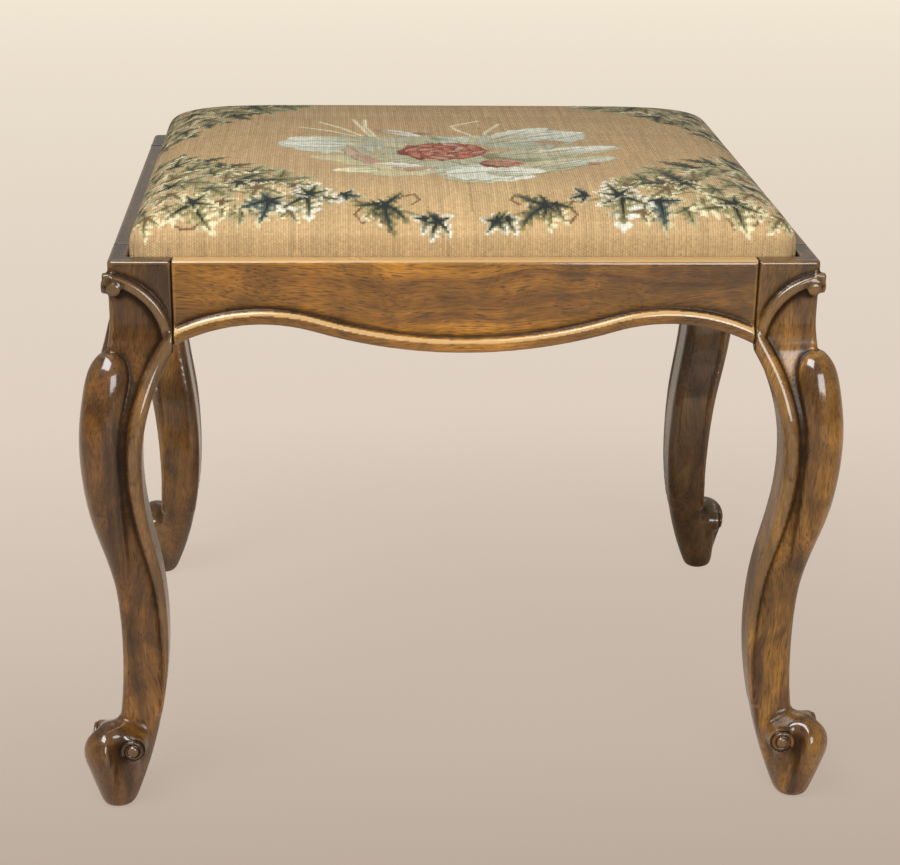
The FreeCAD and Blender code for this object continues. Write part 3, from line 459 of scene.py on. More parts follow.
for corner, (side_x, side_y) in CORNERS.items():
    piece = new_piece("carved_leg_" + corner, loose_joined("leg_" + corner))
    rub_down(piece, carving_cell, leg_rub)
    mirrored = Matrix.Diagonal((side_x, side_y, 1, 1))
    place = Matrix.Translation((side_x * frame_half.x, side_y * frame_half.y, 0)) @ mirrored
    round_foot(piece, place)
    mark_hollows(piece)
    for rail in corner.split("_"):
        wax_joint(piece, rail)
    carve_volutes(piece, place)
    stands_for(piece, "leg_" + corner, "frame", walnut["leg_" + corner])


# Rails: four walnut seat rails with a serpentine lower edge worked into a rounded bead, and a rebate inside
# for the drop-in seat. Each is dowelled between two posts, with its grain along its length.
rail_cell = 0.0012
rail_rub = 3
# Painted highlight on the front rail, with some wear on its top edge: the height of the pale top edge, how
# pale it is painted, how far below the top the bead may start, and how far up a painted part of the bead
# faces.
highlight_edge_height = 0.0012
highlight_mark = -0.95
bead_below = 0.012
bead_highlight_facing = 0.2
for name in ("front", "rear", "right", "left"):
    piece = new_piece("moulded_rail_" + name, loose_joined("rail_" + name))
    rub_down(piece, rail_cell, rail_rub)
    mark_hollows(piece)
    # The front rail's top edge and the upper side of its bead are painted pale: a painted highlight where
    # they face the light from above, with some wear on the top edge.
    if name == "front":
        hollow = hollows(piece)
        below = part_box("rail_front")[1].z - positions(piece.data)[:, 2]
        upward = facings(piece.data)[:, 2]
        hollow[below < highlight_edge_height] = highlight_mark
        hollow[(hollow < 0) & (below > bead_below) & (upward > bead_highlight_facing)] = highlight_mark
        set_hollows(piece, hollow)
    wax_joint(piece, name)
    stands_for(piece, "rail_" + name, "frame", walnut["rail_" + name])


# Beech: the pale, close-grained wood of the corner blocks, dowels and seat frame. Sawn and planed, not
# polished, dry and a little dusty, with short fine flecks along the grain.
def planed_beech(along):
    material, shader = new_material("beech_planed_grain_" + along)
    place = add(material, "ShaderNodeTexCoord").outputs["Object"]
    grain = add(material, "ShaderNodeMapping", {"Vector": place, "Rotation": GRAIN_TURN[along]}).outputs[0]
    # Growth rings about 11 mm apart and ray flecks 6 mm long and 0.8 mm wide.
    rings = add(material, "ShaderNodeMapping", {"Vector": grain, "Scale": (6.0, 90.0, 90.0)}).outputs[0]
    rays = add(material, "ShaderNodeMapping", {"Vector": grain, "Scale": (160.0, 1200.0, 1200.0)}).outputs[0]
    ring = add(
        material, "ShaderNodeTexNoise", {"Vector": rings, "Scale": 1.0, "Detail": 3.0, "Distortion": 0.4}
    )
    ray = add(material, "ShaderNodeTexNoise", {"Vector": rays, "Scale": 1.0, "Detail": 1.0})
    tone = add(
        material,
        "ShaderNodeMix",
        {MIX_FACTOR: ring.outputs["Fac"], MIX_A: linear("#cfae80"), MIX_B: linear("#a9834f")},
        data_type="RGBA",
    )
    fleck = add(
        material,
        "ShaderNodeMapRange",
        {"Value": ray.outputs["Fac"], "From Min": 0.58, "From Max": 0.68, "To Max": 0.5},
    )
    flecked = add(
        material,
        "ShaderNodeMix",
        {MIX_FACTOR: fleck.outputs[0], MIX_A: tone.outputs[MIX_RESULT], MIX_B: linear("#7d5a32")},
        data_type="RGBA",
    )
    relief = add(
        material, "ShaderNodeBump", {"Height": ring.outputs["Fac"], "Strength": 0.2, "Distance": 0.0005}
    )
    finish = {"Base Color": flecked.outputs[MIX_RESULT], "Normal": relief.outputs[0], "Roughness": 0.62}
    set_inputs(material, shader, finish)
    return material


beech = {along: planed_beech(along) for along in "xy"}


def dress(name, material):
    """Gives a CAD node its material."""
    slots = nodes[name].data.materials
    slots.clear()
    slots.append(material)


# Corner blocks and dowels: beech glue blocks behind each joint, fitted round the posts, and the turned pegs
# that hold rails to legs. The blocks are screwed to the rails with countersunk steel screws.
for corner in CORNERS:
    dress("corner_block_" + corner, beech["x"])
    dress("dowels_" + corner, beech["x"])


# Screws: steel wood screws, two to a corner block, driven through it into the rails with their heads sunk.
# Turned bright and gone dull with age, with a little brown rust.
rust_roughness = 0.25


def dull_metal(name, bright, rust, roughness):
    material, shader = new_material(name)
    place = add(material, "ShaderNodeTexCoord").outputs["Object"]
    # Rust spots about 2 mm across.
    spots = add(material, "ShaderNodeTexNoise", {"Vector": place, "Scale": 480.0, "Detail": 3.0})
    amount = add(
        material, "ShaderNodeMapRange", {"Value": spots.outputs["Fac"], "From Min": 0.5, "From Max": 0.7}
    )
    tone = add(
        material,
        "ShaderNodeMix",
        {MIX_FACTOR: amount.outputs[0], MIX_A: linear(bright), MIX_B: linear(rust)},
        data_type="RGBA",
    )
    rough = add(
        material,
        "ShaderNodeMapRange",
        {"Value": spots.outputs["Fac"], "To Min": roughness, "To Max": roughness + rust_roughness},
    )
    finish = {"Base Color": tone.outputs[MIX_RESULT], "Roughness": rough.outputs[0], "Metallic": 1.0}
    set_inputs(material, shader, finish)
    return material


dress("corner_block_screws", dull_metal("steel_turned", "#8d8a84", "#5b4632", 0.35))


# Seat frame: four beech members, the side ones tenoned into the long ones, with the outer edge eased where
# the cover goes over it.
for name, along in (("front", "x"), ("rear", "x"), ("right", "y"), ("left", "y")):
    dress("seat_frame_" + name, beech[along])


# Webbing: seven strips of jute webbing, stretched and tacked across the seat frame and woven over and under
# each other. Plain woven, straw brown, with two dark lines along each strip.
webbing_thickness = 0.0016
webbing_step = 0.005
webbing_rows = 10
# Points of a CAD strip this near to its end, or to the edge of a strip that it crosses, give its level.
end_reach = 0.0001
crossing_reach = 0.004


def woven_jute():
    material, shader = new_material("jute_webbing_woven")
    # The strip's own map: u runs across it from 0 to 1, v along it in metres. Yarns are 2.5 mm wide.
    cloth = add(material, "ShaderNodeUVMap", uv_map="strip").outputs[0]
    yarn = add(material, "ShaderNodeMapping", {"Vector": cloth, "Scale": (20.0, 400.0, 1.0)}).outputs[0]
    over = add(
        material,
        "ShaderNodeTexChecker",
        {"Vector": yarn, "Color1": linear("#a98d5f"), "Color2": linear("#8d7148"), "Scale": 1.0},
    )
    hairs = add(material, "ShaderNodeTexNoise", {"Vector": yarn, "Scale": 1.7, "Detail": 3.0})
    across = add(material, "ShaderNodeSeparateXYZ", {0: cloth}).outputs[0]
    from_middle = add(material, "ShaderNodeMath", {0: across, 1: 0.5}, operation="SUBTRACT")
    out = add(material, "ShaderNodeMath", {0: from_middle.outputs[0]}, operation="ABSOLUTE")
    line = add(material, "ShaderNodeMath", {0: out.outputs[0], 1: 0.3, 2: 0.045}, operation="COMPARE")
    lined = add(
        material,
        "ShaderNodeMix",
        {MIX_FACTOR: line.outputs[0], MIX_A: over.outputs["Color"], MIX_B: linear("#3a2a1c")},
        data_type="RGBA",
    )
    tone = add(
        material,
        "ShaderNodeMapRange",
        {"Value": hairs.outputs["Fac"], "From Min": 0.3, "From Max": 0.7, "To Min": 0.7, "To Max": 1.15},
    )
    aged = add(
        material,
        "ShaderNodeVectorMath",
        {0: lined.outputs[MIX_RESULT], "Scale": tone.outputs[0]},
        operation="SCALE",
    )
    relief = add(
        material, "ShaderNodeBump", {"Height": over.outputs["Fac"], "Strength": 0.6, "Distance": 0.0005}
    )
    finish = {"Base Color": aged.outputs[0], "Normal": relief.outputs[0], "Roughness": 0.9}
    set_inputs(material, shader, finish)
    return material


jute = woven_jute()
strips = {
    "long": ["webbing_long_1", "webbing_long_2", "webbing_long_3"],
    "cross": ["webbing_cross_1", "webbing_cross_2", "webbing_cross_3", "webbing_cross_4"],
}
for group, names in strips.items():
    run = 0 if group == "long" else 1
    crossed = strips["cross" if group == "long" else "long"]
    for name in names:
        low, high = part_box(name)
        middle = (low + high) / 2
        points = positions(nodes[name].data)
        stations = [low[run]]
        levels = [points[np.abs(points[:, run] - low[run]) < end_reach, 2].mean()]
        for other in crossed:
            other_low, other_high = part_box(other)
            for edge in (other_low[run], other_high[run]):
                near = points[np.abs(points[:, run] - edge) < crossing_reach, 2]
                stations.append(edge)
                levels.append(near.mean())
        stations.append(high[run])
        levels.append(levels[0])
        bm = bmesh.new()
        length = high[run] - low[run]
        width = high[1 - run] - low[1 - run]
        bmesh.ops.create_grid(
            bm, x_segments=round(length / webbing_step), y_segments=webbing_rows, size=0.5
        )
        strip_map = bm.loops.layers.uv.new("strip")
        for face in bm.faces:
            for loop in face.loops:
                loop[strip_map].uv = (loop.vert.co.y + 0.5, (loop.vert.co.x + 0.5) * length)
        for v in bm.verts:
            along = low[run] + (v.co.x + 0.5) * length
            sideways = middle[1 - run] + v.co.y * width
            level = float(np.interp(along, stations, levels))
            v.co = (along, sideways, level) if run == 0 else (sideways, along, level)
        if run:
            bmesh.ops.reverse_faces(bm, faces=bm.faces)
        piece = new_piece("woven_" + name, bm)
        wall = piece.modifiers.new("thickness", "SOLIDIFY")
        wall.thickness = webbing_thickness
        wall.offset = 0
        stands_for(piece, name, "seat", jute)


# Tacks: short tacks of blued steel, driven into the seat frame, which hold the ends of the webbing and the
# hem of the cover. Dark and dull, with a little rust.
blued = dull_metal("blued_steel_tacks", "#34373c", "#4a3526", 0.42)
dress("webbing_tacks", blued)
dress("cover_tacks", blued)


# Hessian: one piece of coarse jute cloth tacked over the webbing, which carries the stuffing. Plain woven,
# open and straw coloured, pulled tight with a slight sag between the members.
hessian_sag = 0.0004
hessian_skin = 0.0006
hessian_cells = (60, 48)


def woven_hessian():
    material, shader = new_material("hessian_plain_weave")
    place = add(material, "ShaderNodeTexCoord").outputs["Object"]
    # Yarns 1.6 mm apart.
    yarn = add(material, "ShaderNodeMapping", {"Vector": place, "Scale": (625.0, 625.0, 0.0)}).outputs[0]
    over = add(
        material,
        "ShaderNodeTexChecker",
        {"Vector": yarn, "Color1": linear("#b0946a"), "Color2": linear("#87693f"), "Scale": 1.0},
    )
    slubs = add(material, "ShaderNodeTexNoise", {"Vector": yarn, "Scale": 0.4, "Detail": 3.0})
    tone = add(
        material,
        "ShaderNodeMapRange",
        {"Value": slubs.outputs["Fac"], "From Min": 0.3, "From Max": 0.7, "To Min": 0.75, "To Max": 1.15},
    )
    aged = add(
        material,
        "ShaderNodeVectorMath",
        {0: over.outputs["Color"], "Scale": tone.outputs[0]},
        operation="SCALE",
    )
    relief = add(
        material, "ShaderNodeBump", {"Height": over.outputs["Fac"], "Strength": 0.5, "Distance": 0.0004}
    )
    finish = {"Base Color": aged.outputs[0], "Normal": relief.outputs[0], "Roughness": 0.92}
    set_inputs(material, shader, finish)
    return material


low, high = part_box("hessian")
bm = bmesh.new()
bmesh.ops.create_grid(bm, x_segments=hessian_cells[0], y_segments=hessian_cells[1], size=1)
for v in bm.verts:
    sag = hessian_sag * (1 - v.co.x ** 2) * (1 - v.co.y ** 2)
    v.co = (v.co.x * high.x, v.co.y * high.y, (low.z + high.z) / 2 - sag)
hessian = new_piece("stretched_hessian", bm)
wall = hessian.modifiers.new("thickness", "SOLIDIFY")
wall.thickness = hessian_skin
wall.offset = 0
stands_for(hessian, "hessian", "seat", woven_hessian())


# Needlework cover: wool stitches on canvas, worked as leaf sprays in the corners and a bouquet in the
# middle. It is stretched over the crowned seat, pleated at the corners, turned under the frame and tacked.
# The canvas is laid out in cells of two stitches, which are split when it has its shape.
stitch = 0.0018
cell = 2 * stitch
low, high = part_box("needlework_cover")
half_x, half_y = high.x, high.y
corner_round = 0.011
pleat_half = 0.0045
pleat_depth = 0.0016
pleat_end = 0.9
# The crown springs from this far over the rails and stays this far under the CAD cover's top. A higher
# fullness makes its shoulder squarer, and the blend rounds it where two sides meet.
crown_above_rail = 0.006
crown_below_top = 0.0012
crown_fullness = 6
crown_blend = 4
crown_steps = 2000
crown_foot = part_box("rail_front")[1].z + crown_above_rail
crown_rise = high.z - crown_foot - crown_below_top
inset_table = half_y * np.linspace(0, 1, crown_steps) ** 2
rise_table = np.sqrt(1 - (1 - inset_table / half_y) ** crown_fullness)
arc_steps = np.hypot(np.diff(inset_table), np.diff(rise_table * crown_rise))
arc_table = np.concatenate(([0.0], np.cumsum(arc_steps)))
taken_up = arc_table[-1] - half_y
cloth_half_x = half_x + taken_up
cloth_half_y = half_y + taken_up
# Rows of the cover down the side of the seat, and in under it.
skirt_drops = [0.0041, 0.0082, 0.0123, 0.0164, 0.0205]
hem_insets = [0.0016, 0.006, 0.0104, 0.0148, 0.0192, 0.0236, 0.0258]
hem_round = 0.0015
on_edge = 1e-5


def crown_share(from_edge):
    """How far in a point of the cloth lies, and its share of the crown's rise, from its distance to the
    edge along the cloth."""
    if from_edge > arc_table[-1]:
        return from_edge - taken_up, 1.0
    return np.interp(from_edge, arc_table, inset_table), np.interp(from_edge, arc_table, rise_table)


def rounded_corner(x, y):
    """Moves a point of the square corner of the outline in to the rounded one."""
    over_x = (abs(x) - (half_x - corner_round)) / corner_round
    over_y = (abs(y) - (half_y - corner_round)) / corner_round
    if over_x <= 0 or over_y <= 0:
        return x, y
    new_x = half_x - corner_round + corner_round * over_x * math.sqrt(1 - over_y ** 2 / 2)
    new_y = half_y - corner_round + corner_round * over_y * math.sqrt(1 - over_x ** 2 / 2)
    return math.copysign(new_x, x), math.copysign(new_y, y)


def moved_in(x, y, inset):
    """A point of the rounded outline moved in under the seat."""
    keep = max(corner_round - inset, hem_round) / corner_round
    back = max(corner_round, inset + hem_round)
    new = []
    for value, half in ((x, half_x), (y, half_y)):
        over = abs(value) - (half - corner_round)
        away = half - back + over * keep if over > 0 else min(abs(value), half - back)
        new.append(math.copysign(away, value))
    return new


bm = bmesh.new()
bmesh.ops.create_grid(
    bm, x_segments=round(2 * cloth_half_x / cell), y_segments=round(2 * cloth_half_y / cell), size=1
)
cloth_at = bm.verts.layers.float_vector.new("cloth")
for v in bm.verts:
    x, y = v.co.x * cloth_half_x, v.co.y * cloth_half_y
    v[cloth_at] = (x, y, 0)
    in_x, rise_x = crown_share(cloth_half_x - abs(x))
    in_y, rise_y = crown_share(cloth_half_y - abs(y))
    rise = 0.0
    if rise_x > 0 and rise_y > 0:
        rise = (rise_x ** -crown_blend + rise_y ** -crown_blend - 1) ** (-1 / crown_blend)
    plan_x, plan_y = rounded_corner(math.copysign(half_x - in_x, x), math.copysign(half_y - in_y, y))
    # A pleat runs down each corner and dies out on the crown.
    from_corner = abs((cloth_half_x - abs(x)) - (cloth_half_y - abs(y)))
    fold = pleat_depth * max(0.0, 1 - from_corner / pleat_half) * max(0.0, 1 - rise / pleat_end)
    plan_x -= math.copysign(fold, x)
    plan_y -= math.copysign(fold, y)
    v.co = (plan_x, plan_y, crown_foot + crown_rise * rise)
rows = [(drop, 0.0) for drop in skirt_drops] + [(crown_foot - low.z, inset) for inset in hem_insets]
rim_at = bm.verts.layers.float_vector.new("rim")
for v in bm.verts:
    v[rim_at] = v.co
for drop, inset in rows:
    made = bmesh.ops.extrude_edge_only(bm, edges=[e for e in bm.edges if e.is_boundary])["geom"]
    for v in made:
        if isinstance(v, bmesh.types.BMVert):
            x, y = v[cloth_at].xy
            if abs(x) > cloth_half_x - on_edge:
                x += math.copysign(cell, x)
            if abs(y) > cloth_half_y - on_edge:
                y += math.copysign(cell, y)
            v[cloth_at] = (x, y, 0)
            rim = v[rim_at]
            plan = moved_in(rim.x, rim.y, inset) if inset else rim.xy
            v.co = (plan[0], plan[1], crown_foot - drop)
bmesh.ops.recalc_face_normals(bm, faces=bm.faces)
cloth_map = bm.loops.layers.uv.new("cloth")
for face in bm.faces:
    for loop in face.loops:
        loop[cloth_map].uv = loop.vert[cloth_at].xy / stitch
tacked = [
    v.index for v in bm.verts
    if abs(v[cloth_at].x) > cloth_half_x - on_edge or abs(v[cloth_at].y) > cloth_half_y - on_edge
]
cover = new_piece("stitched_cover", bm)


# The stuffing pushes the cover out: a short cloth run with its edge tacked down, which moves no point of it
# further than the cap.
cloth_frames = 20
cloth_pressure = 4.0
cloth_cap = 0.004
start = positions(cover.data)
group = cover.vertex_groups.new(name="tacked")
group.add(tacked, 1.0, "REPLACE")
cloth = cover.modifiers.new("cloth", "CLOTH")
cloth.settings.quality = 6
cloth.settings.mass = 0.3
cloth.settings.tension_stiffness = 40
cloth.settings.compression_stiffness = 40
cloth.settings.bending_stiffness = 3
cloth.settings.use_pressure = True
cloth.settings.uniform_pressure_force = cloth_pressure
cloth.settings.vertex_group_mass = "tacked"
cloth.settings.effector_weights.gravity = 0
cloth.collision_settings.use_collision = False
cloth.point_cache.frame_end = cloth_frames
scene = bpy.context.scene
for step in range(1, cloth_frames + 1):
    scene.frame_set(step)
apply_modifiers(cover)
scene.frame_set(1)
moved = positions(cover.data) - start
far = np.maximum(np.linalg.norm(moved, axis=1, keepdims=True), 1e-9)
cover.data.vertices.foreach_set("co", (start + moved * np.minimum(1, cloth_cap / far)).ravel())
cover.vertex_groups.clear()


# Undercover and stuffing: white calico, plain woven, stretched over a springy pad of black curled horsehair
# on the hessian. Both lie inside the cover and follow it.
calico_inset = 0.0024
calico_skin = 0.0006
stuffing_inset = 0.0036
hem_facing = -0.5


def lining(inset):
    """A copy of the cover's top and sides moved in, without the hem."""
    bm = bmesh.new()
    bm.from_mesh(cover.data)
    bm.normal_update()
    away = {v: v.co - v.normal * inset for v in bm.verts}
    for v, co in away.items():
        v.co = co
    under = [f for f in bm.faces if f.normal.z < hem_facing]
    bmesh.ops.delete(bm, geom=under, context="FACES")
    return bm


def woven_calico():
    material, shader = new_material("calico_plain_weave")
    place = add(material, "ShaderNodeTexCoord").outputs["Object"]
    # Threads 0.5 mm apart.
    threads = add(material, "ShaderNodeTexNoise", {"Vector": place, "Scale": 2000.0, "Detail": 1.0})
    tone = add(
        material,
        "ShaderNodeMix",
        {MIX_FACTOR: threads.outputs["Fac"], MIX_A: linear("#d9d0b8"), MIX_B: linear("#c2b696")},
        data_type="RGBA",
    )
    set_inputs(material, shader, {"Base Color": tone.outputs[MIX_RESULT], "Roughness": 0.9})
    return material


def curled_horsehair():
    material, shader = new_material("horsehair_curled")
    place = add(material, "ShaderNodeTexCoord").outputs["Object"]
    # Curls of hair about 8 mm across.
    curls = add(
        material, "ShaderNodeTexNoise", {"Vector": place, "Scale": 120.0, "Detail": 6.0, "Distortion": 3.0}
    )
    tone = add(
        material,
        "ShaderNodeMix",
        {MIX_FACTOR: curls.outputs["Fac"], MIX_A: linear("#15110d"), MIX_B: linear("#4a3f33")},
        data_type="RGBA",
    )
    relief = add(
        material, "ShaderNodeBump", {"Height": curls.outputs["Fac"], "Strength": 0.8, "Distance": 0.003}
    )
    finish = {"Base Color": tone.outputs[MIX_RESULT], "Normal": relief.outputs[0], "Roughness": 0.55}
    set_inputs(material, shader, finish)
    return material


calico = new_piece("stretched_calico", lining(calico_inset))
wall = calico.modifiers.new("thickness", "SOLIDIFY")
wall.thickness = calico_skin
stands_for(calico, "calico", "seat", woven_calico())

pad_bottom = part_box("horsehair_stuffing")[0].z
bm = lining(stuffing_inset)
whole = bm.verts[:] + bm.edges[:] + bm.faces[:]
bmesh.ops.bisect_plane(bm, geom=whole, plane_co=(0, 0, pad_bottom), plane_no=(0, 0, 1), clear_inner=True)
bmesh.ops.holes_fill(bm, edges=[e for e in bm.edges if e.is_boundary], sides=0)
pad = new_piece("horsehair_pad", bm)
stands_for(pad, "horsehair_stuffing", "seat", curled_horsehair())


# The stitches: each face of the finished cover is one stitch of wool. The drawing is worked out on the flat
# canvas in millimetres, x to the right and y to the back from the middle of the seat, in strokes a quarter
# of a stitch wide, and each stitch then takes its colour from the strokes under it.
split = cover.modifiers.new("stitches", "SUBSURF")
split.levels = 1
split.render_levels = 1
split.uv_smooth = "NONE"
apply_modifiers(cover)
mesh = cover.data
WOOL = {
    "tan": "#b99b70",
    "fawn": "#a98a62",
    "cream": "#dfd4ac",
    "bone": "#c6b98f",
    "sage": "#b0a985",
    "olive": "#82794f",
    "moss": "#47493a",
    "ink": "#262c29",
    "navy": "#465450",
    "slate": "#7c8983",
    "white": "#e0decd",
    "pearl": "#c9cab8",
    "dove": "#aaa98f",
    "umber": "#6d5438",
    "rose": "#bd9c84",
    "coral": "#b67e62",
    "red": "#a25540",
    "wine": "#703628",
}
wool = {name: np.array(linear(colour)[:3]) for name, colour in WOOL.items()}
strokes_per_stitch = 4
stroke = stitch * 1000 / strokes_per_stitch
canvas_margin = 100
columns = math.ceil(cloth_half_x * 1000 / stroke) + canvas_margin
lines = math.ceil(cloth_half_y * 1000 / stroke) + canvas_margin
canvas_x = (np.arange(-columns, columns) + 0.5) * stroke
canvas_y = (np.arange(-lines, lines) + 0.5) * stroke
drawing = np.empty((2 * lines, 2 * columns, 3))
drawing[:] = wool["tan"]


def local(x, y, heading, reach):
    """The part of the canvas about a point, and its distances along and across a line from there."""
    across_x = slice(*np.searchsorted(canvas_x, (x - reach, x + reach)))
    across_y = slice(*np.searchsorted(canvas_y, (y - reach, y + reach)))
    dx, dy = np.meshgrid(canvas_x[across_x] - x, canvas_y[across_y] - y)
    c, s = math.cos(math.radians(heading)), math.sin(math.radians(heading))
    return drawing[across_y, across_x], dx * c + dy * s, dy * c - dx * s


# How a lobe is drawn: the room that it needs as a share of its length, its teeth along it, the depth,
# spacing and slant of the folds that shade it, and its tone at the tip.
lobe_room = 1.2
tooth_rate = 28
fold_depth = 0.24
fold_rate = 1.1
fold_slant = 5
tip_tone = 1.2


def lobe(
    x, y, heading, length, width, root, tip, curve=0.0, shade=0.3, blunt=0.6, ragged=0.06, fullness=0.75
):
    """A leaf or petal from its base, shaded from root to tip and across. A low blunt rounds its ends, and
    a low fullness puts its widest place near the base."""
    part, along, across = local(x, y, heading, lobe_room * length)
    t = np.clip(along / length, 0, 1)
    inside = (along > 0) & (along < length)
    across = across - curve * length * t ** 2
    teeth = np.sin(tooth_rate * t + np.where(across > 0, x, y))
    half = width / 2 * np.sin(math.pi * t ** fullness) ** blunt * (1 + ragged * teeth)
    body = inside & (np.abs(across) < half)
    folds = fold_depth * np.sin(fold_rate * across + fold_slant * t + x)
    tone = np.clip(tip_tone * t + shade * across / (width / 2) + folds, 0, 1)
    part[body] = wool[root] + (wool[tip] - wool[root]) * tone[body, None]


def stem(points, colour, width):
    """A stitched line through the points."""
    for (x0, y0), (x1, y1) in zip(points, points[1:]):
        length = math.hypot(x1 - x0, y1 - y0)
        part, along, across = local(x0, y0, math.degrees(math.atan2(y1 - y0, x1 - x0)), length + width)
        on_line = (along > -width / 2) & (along < length + width / 2) & (np.abs(across) < width / 2)
        part[on_line] = wool[colour]


# Kinds of leaf: the wools of its lobes' middles, their edges and their veins, and how wide its lobes, as a
# share of their length, and its veins are.
LEAVES = {
    "cream": ("olive", "cream", "ink", 0.52, 4.2),
    "white": ("olive", "white", "ink", 0.52, 4.4),
    "sage": ("olive", "sage", "moss", 0.48, 2.8),
    "straw": ("olive", "cream", "umber", 0.46, 3.4),
    "olive": ("moss", "olive", "ink", 0.42, 2.8),
    "blue": ("navy", "bone", "ink", 0.46, 4.0),
    "dark": ("moss", "olive", "ink", 0.34, 3.4),
}
# Lobes of a leaf: the turn from its heading and the share of its size. Each is drawn a little otherwise, by
# a sway in degrees, a share of its length and a bend.
LEAF_LOBES = ((126, 0.42), (-118, 0.5), (64, 0.8), (-56, 0.9), (4, 1.0))
leaf_sway = 15
leaf_fill, leaf_growth = 0.95, 0.2
leaf_bend = 0.3
leaf_shade = 0.5
leaf_blunt = 0.9
leaf_ragged = 0.5
# The shaded middle of a lobe, as shares of the lobe's length and width, and its vein.
inner_length, inner_width = 0.86, 0.5
vein_length = 0.86
vein_fullness = 0.28
picker = np.random.default_rng(7)


def leaf(x, y, heading, size, kind):
    """A leaf about its stalk's end: ragged lobes, then their shaded middles, then their veins."""
    shaded, lit, vein, wide, vein_width = LEAVES[kind]
    lobes = []
    for turn, share in LEAF_LOBES:
        sway, growth, bend = picker.uniform(-1, 1, 3)
        length = share * size * (leaf_fill + leaf_growth * growth)
        lobes.append((heading + turn + leaf_sway * sway, length, leaf_bend * bend))
    for way, length, bend in lobes:
        lobe(x, y, way, length, wide * length, shaded, lit, bend, leaf_shade, leaf_blunt, leaf_ragged)
    for way, length, bend in lobes:
        width = inner_width * wide * length
        bend *= inner_length
        lobe(x, y, way, inner_length * length, width, shaded, shaded, bend, 0, leaf_blunt, leaf_ragged)
    for way, length, bend in lobes:
        bend *= vein_length
        lobe(x, y, way, vein_length * length, vein_width, vein, vein, bend, 0, 1, 0, vein_fullness)


# One corner spray: distances from the side and from the front edge of the seat, the way the leaf points, its
# size and its kind. Leaves fill the corner, run in to the middle of the front and thin out back along the
# side.
SPRAY = [
    (24, 176, 100, 24, "sage"), (40, 166, 60, 24, "olive"), (20, 152, 170, 24, "olive"),
    (40, 148, 80, 30, "cream"), (60, 140, 20, 26, "olive"), (26, 130, 120, 28, "sage"),
    (54, 122, 60, 30, "sage"), (78, 118, 10, 30, "olive"), (20, 108, 180, 26, "sage"),
    (42, 106, 90, 30, "straw"), (72, 100, 40, 32, "sage"), (102, 98, 5, 30, "sage"),
    (28, 84, 200, 28, "sage"), (50, 84, -30, 34, "sage"), (84, 82, 20, 34, "straw"),
    (124, 80, 0, 32, "sage"), (42, 82, 120, 30, "cream"), (18, 60, 190, 24, "olive"),
    (44, 62, -120, 28, "straw"), (72, 64, -60, 28, "sage"), (94, 74, 4, 44, "dark"),
    (94, 74, -110, 22, "cream"), (108, 62, -30, 30, "straw"), (136, 66, 0, 26, "straw"),
    (22, 42, -150, 22, "sage"), (44, 36, -100, 20, "straw"), (82, 40, -70, 22, "straw"),
    (98, 32, -90, 18, "sage"), (26, 26, -110, 24, "straw"), (61, 38, -80, 36, "cream"),
    (61, 40, 40, 24, "cream"), (118, 42, -105, 33, "blue"), (132, 30, -80, 16, "straw"),
    (145, 48, -86, 36, "white"), (147, 50, 74, 24, "white"), (172, 50, -14, 17, "blue"),
    (198, 34, -70, 24, "straw"), (196, 37, -100, 19, "dark"), (202, 36, -24, 30, "dark"),
    (232, 22, -110, 14, "white"), (240, 20, -50, 18, "white"), (240, 20, 150, 13, "dark"),
]
STALK = [(26, 184), (36, 160), (44, 110), (66, 62), (118, 48), (160, 44), (200, 36), (238, 20)]
TENDRILS = [
    [(50, 26), (46, 18), (54, 13), (64, 14), (68, 22)],
    [(180, 44), (186, 34), (180, 26), (186, 18), (192, 24)],
    [(214, 46), (224, 50), (228, 42), (222, 36)],
    [(88, 112), (104, 112), (112, 104)],
]
LINES = [(STALK, "olive", 2.6)] + [(tendril, "umber", 2.0) for tendril in TENDRILS]
edge_x, edge_y = cloth_half_x * 1000, cloth_half_y * 1000
for side_x, side_y in CORNERS.values():
    for points, colour, width in LINES:
        stem([(side_x * (edge_x - p), side_y * (edge_y - q)) for p, q in points], colour, width)
    for p, q, heading, size, kind in SPRAY:
        ray_x = -side_x * math.cos(math.radians(heading))
        ray_y = -side_y * math.sin(math.radians(heading))
        way = math.degrees(math.atan2(ray_y, ray_x))
        leaf(side_x * (edge_x - p), side_y * (edge_y - q), way, size, kind)

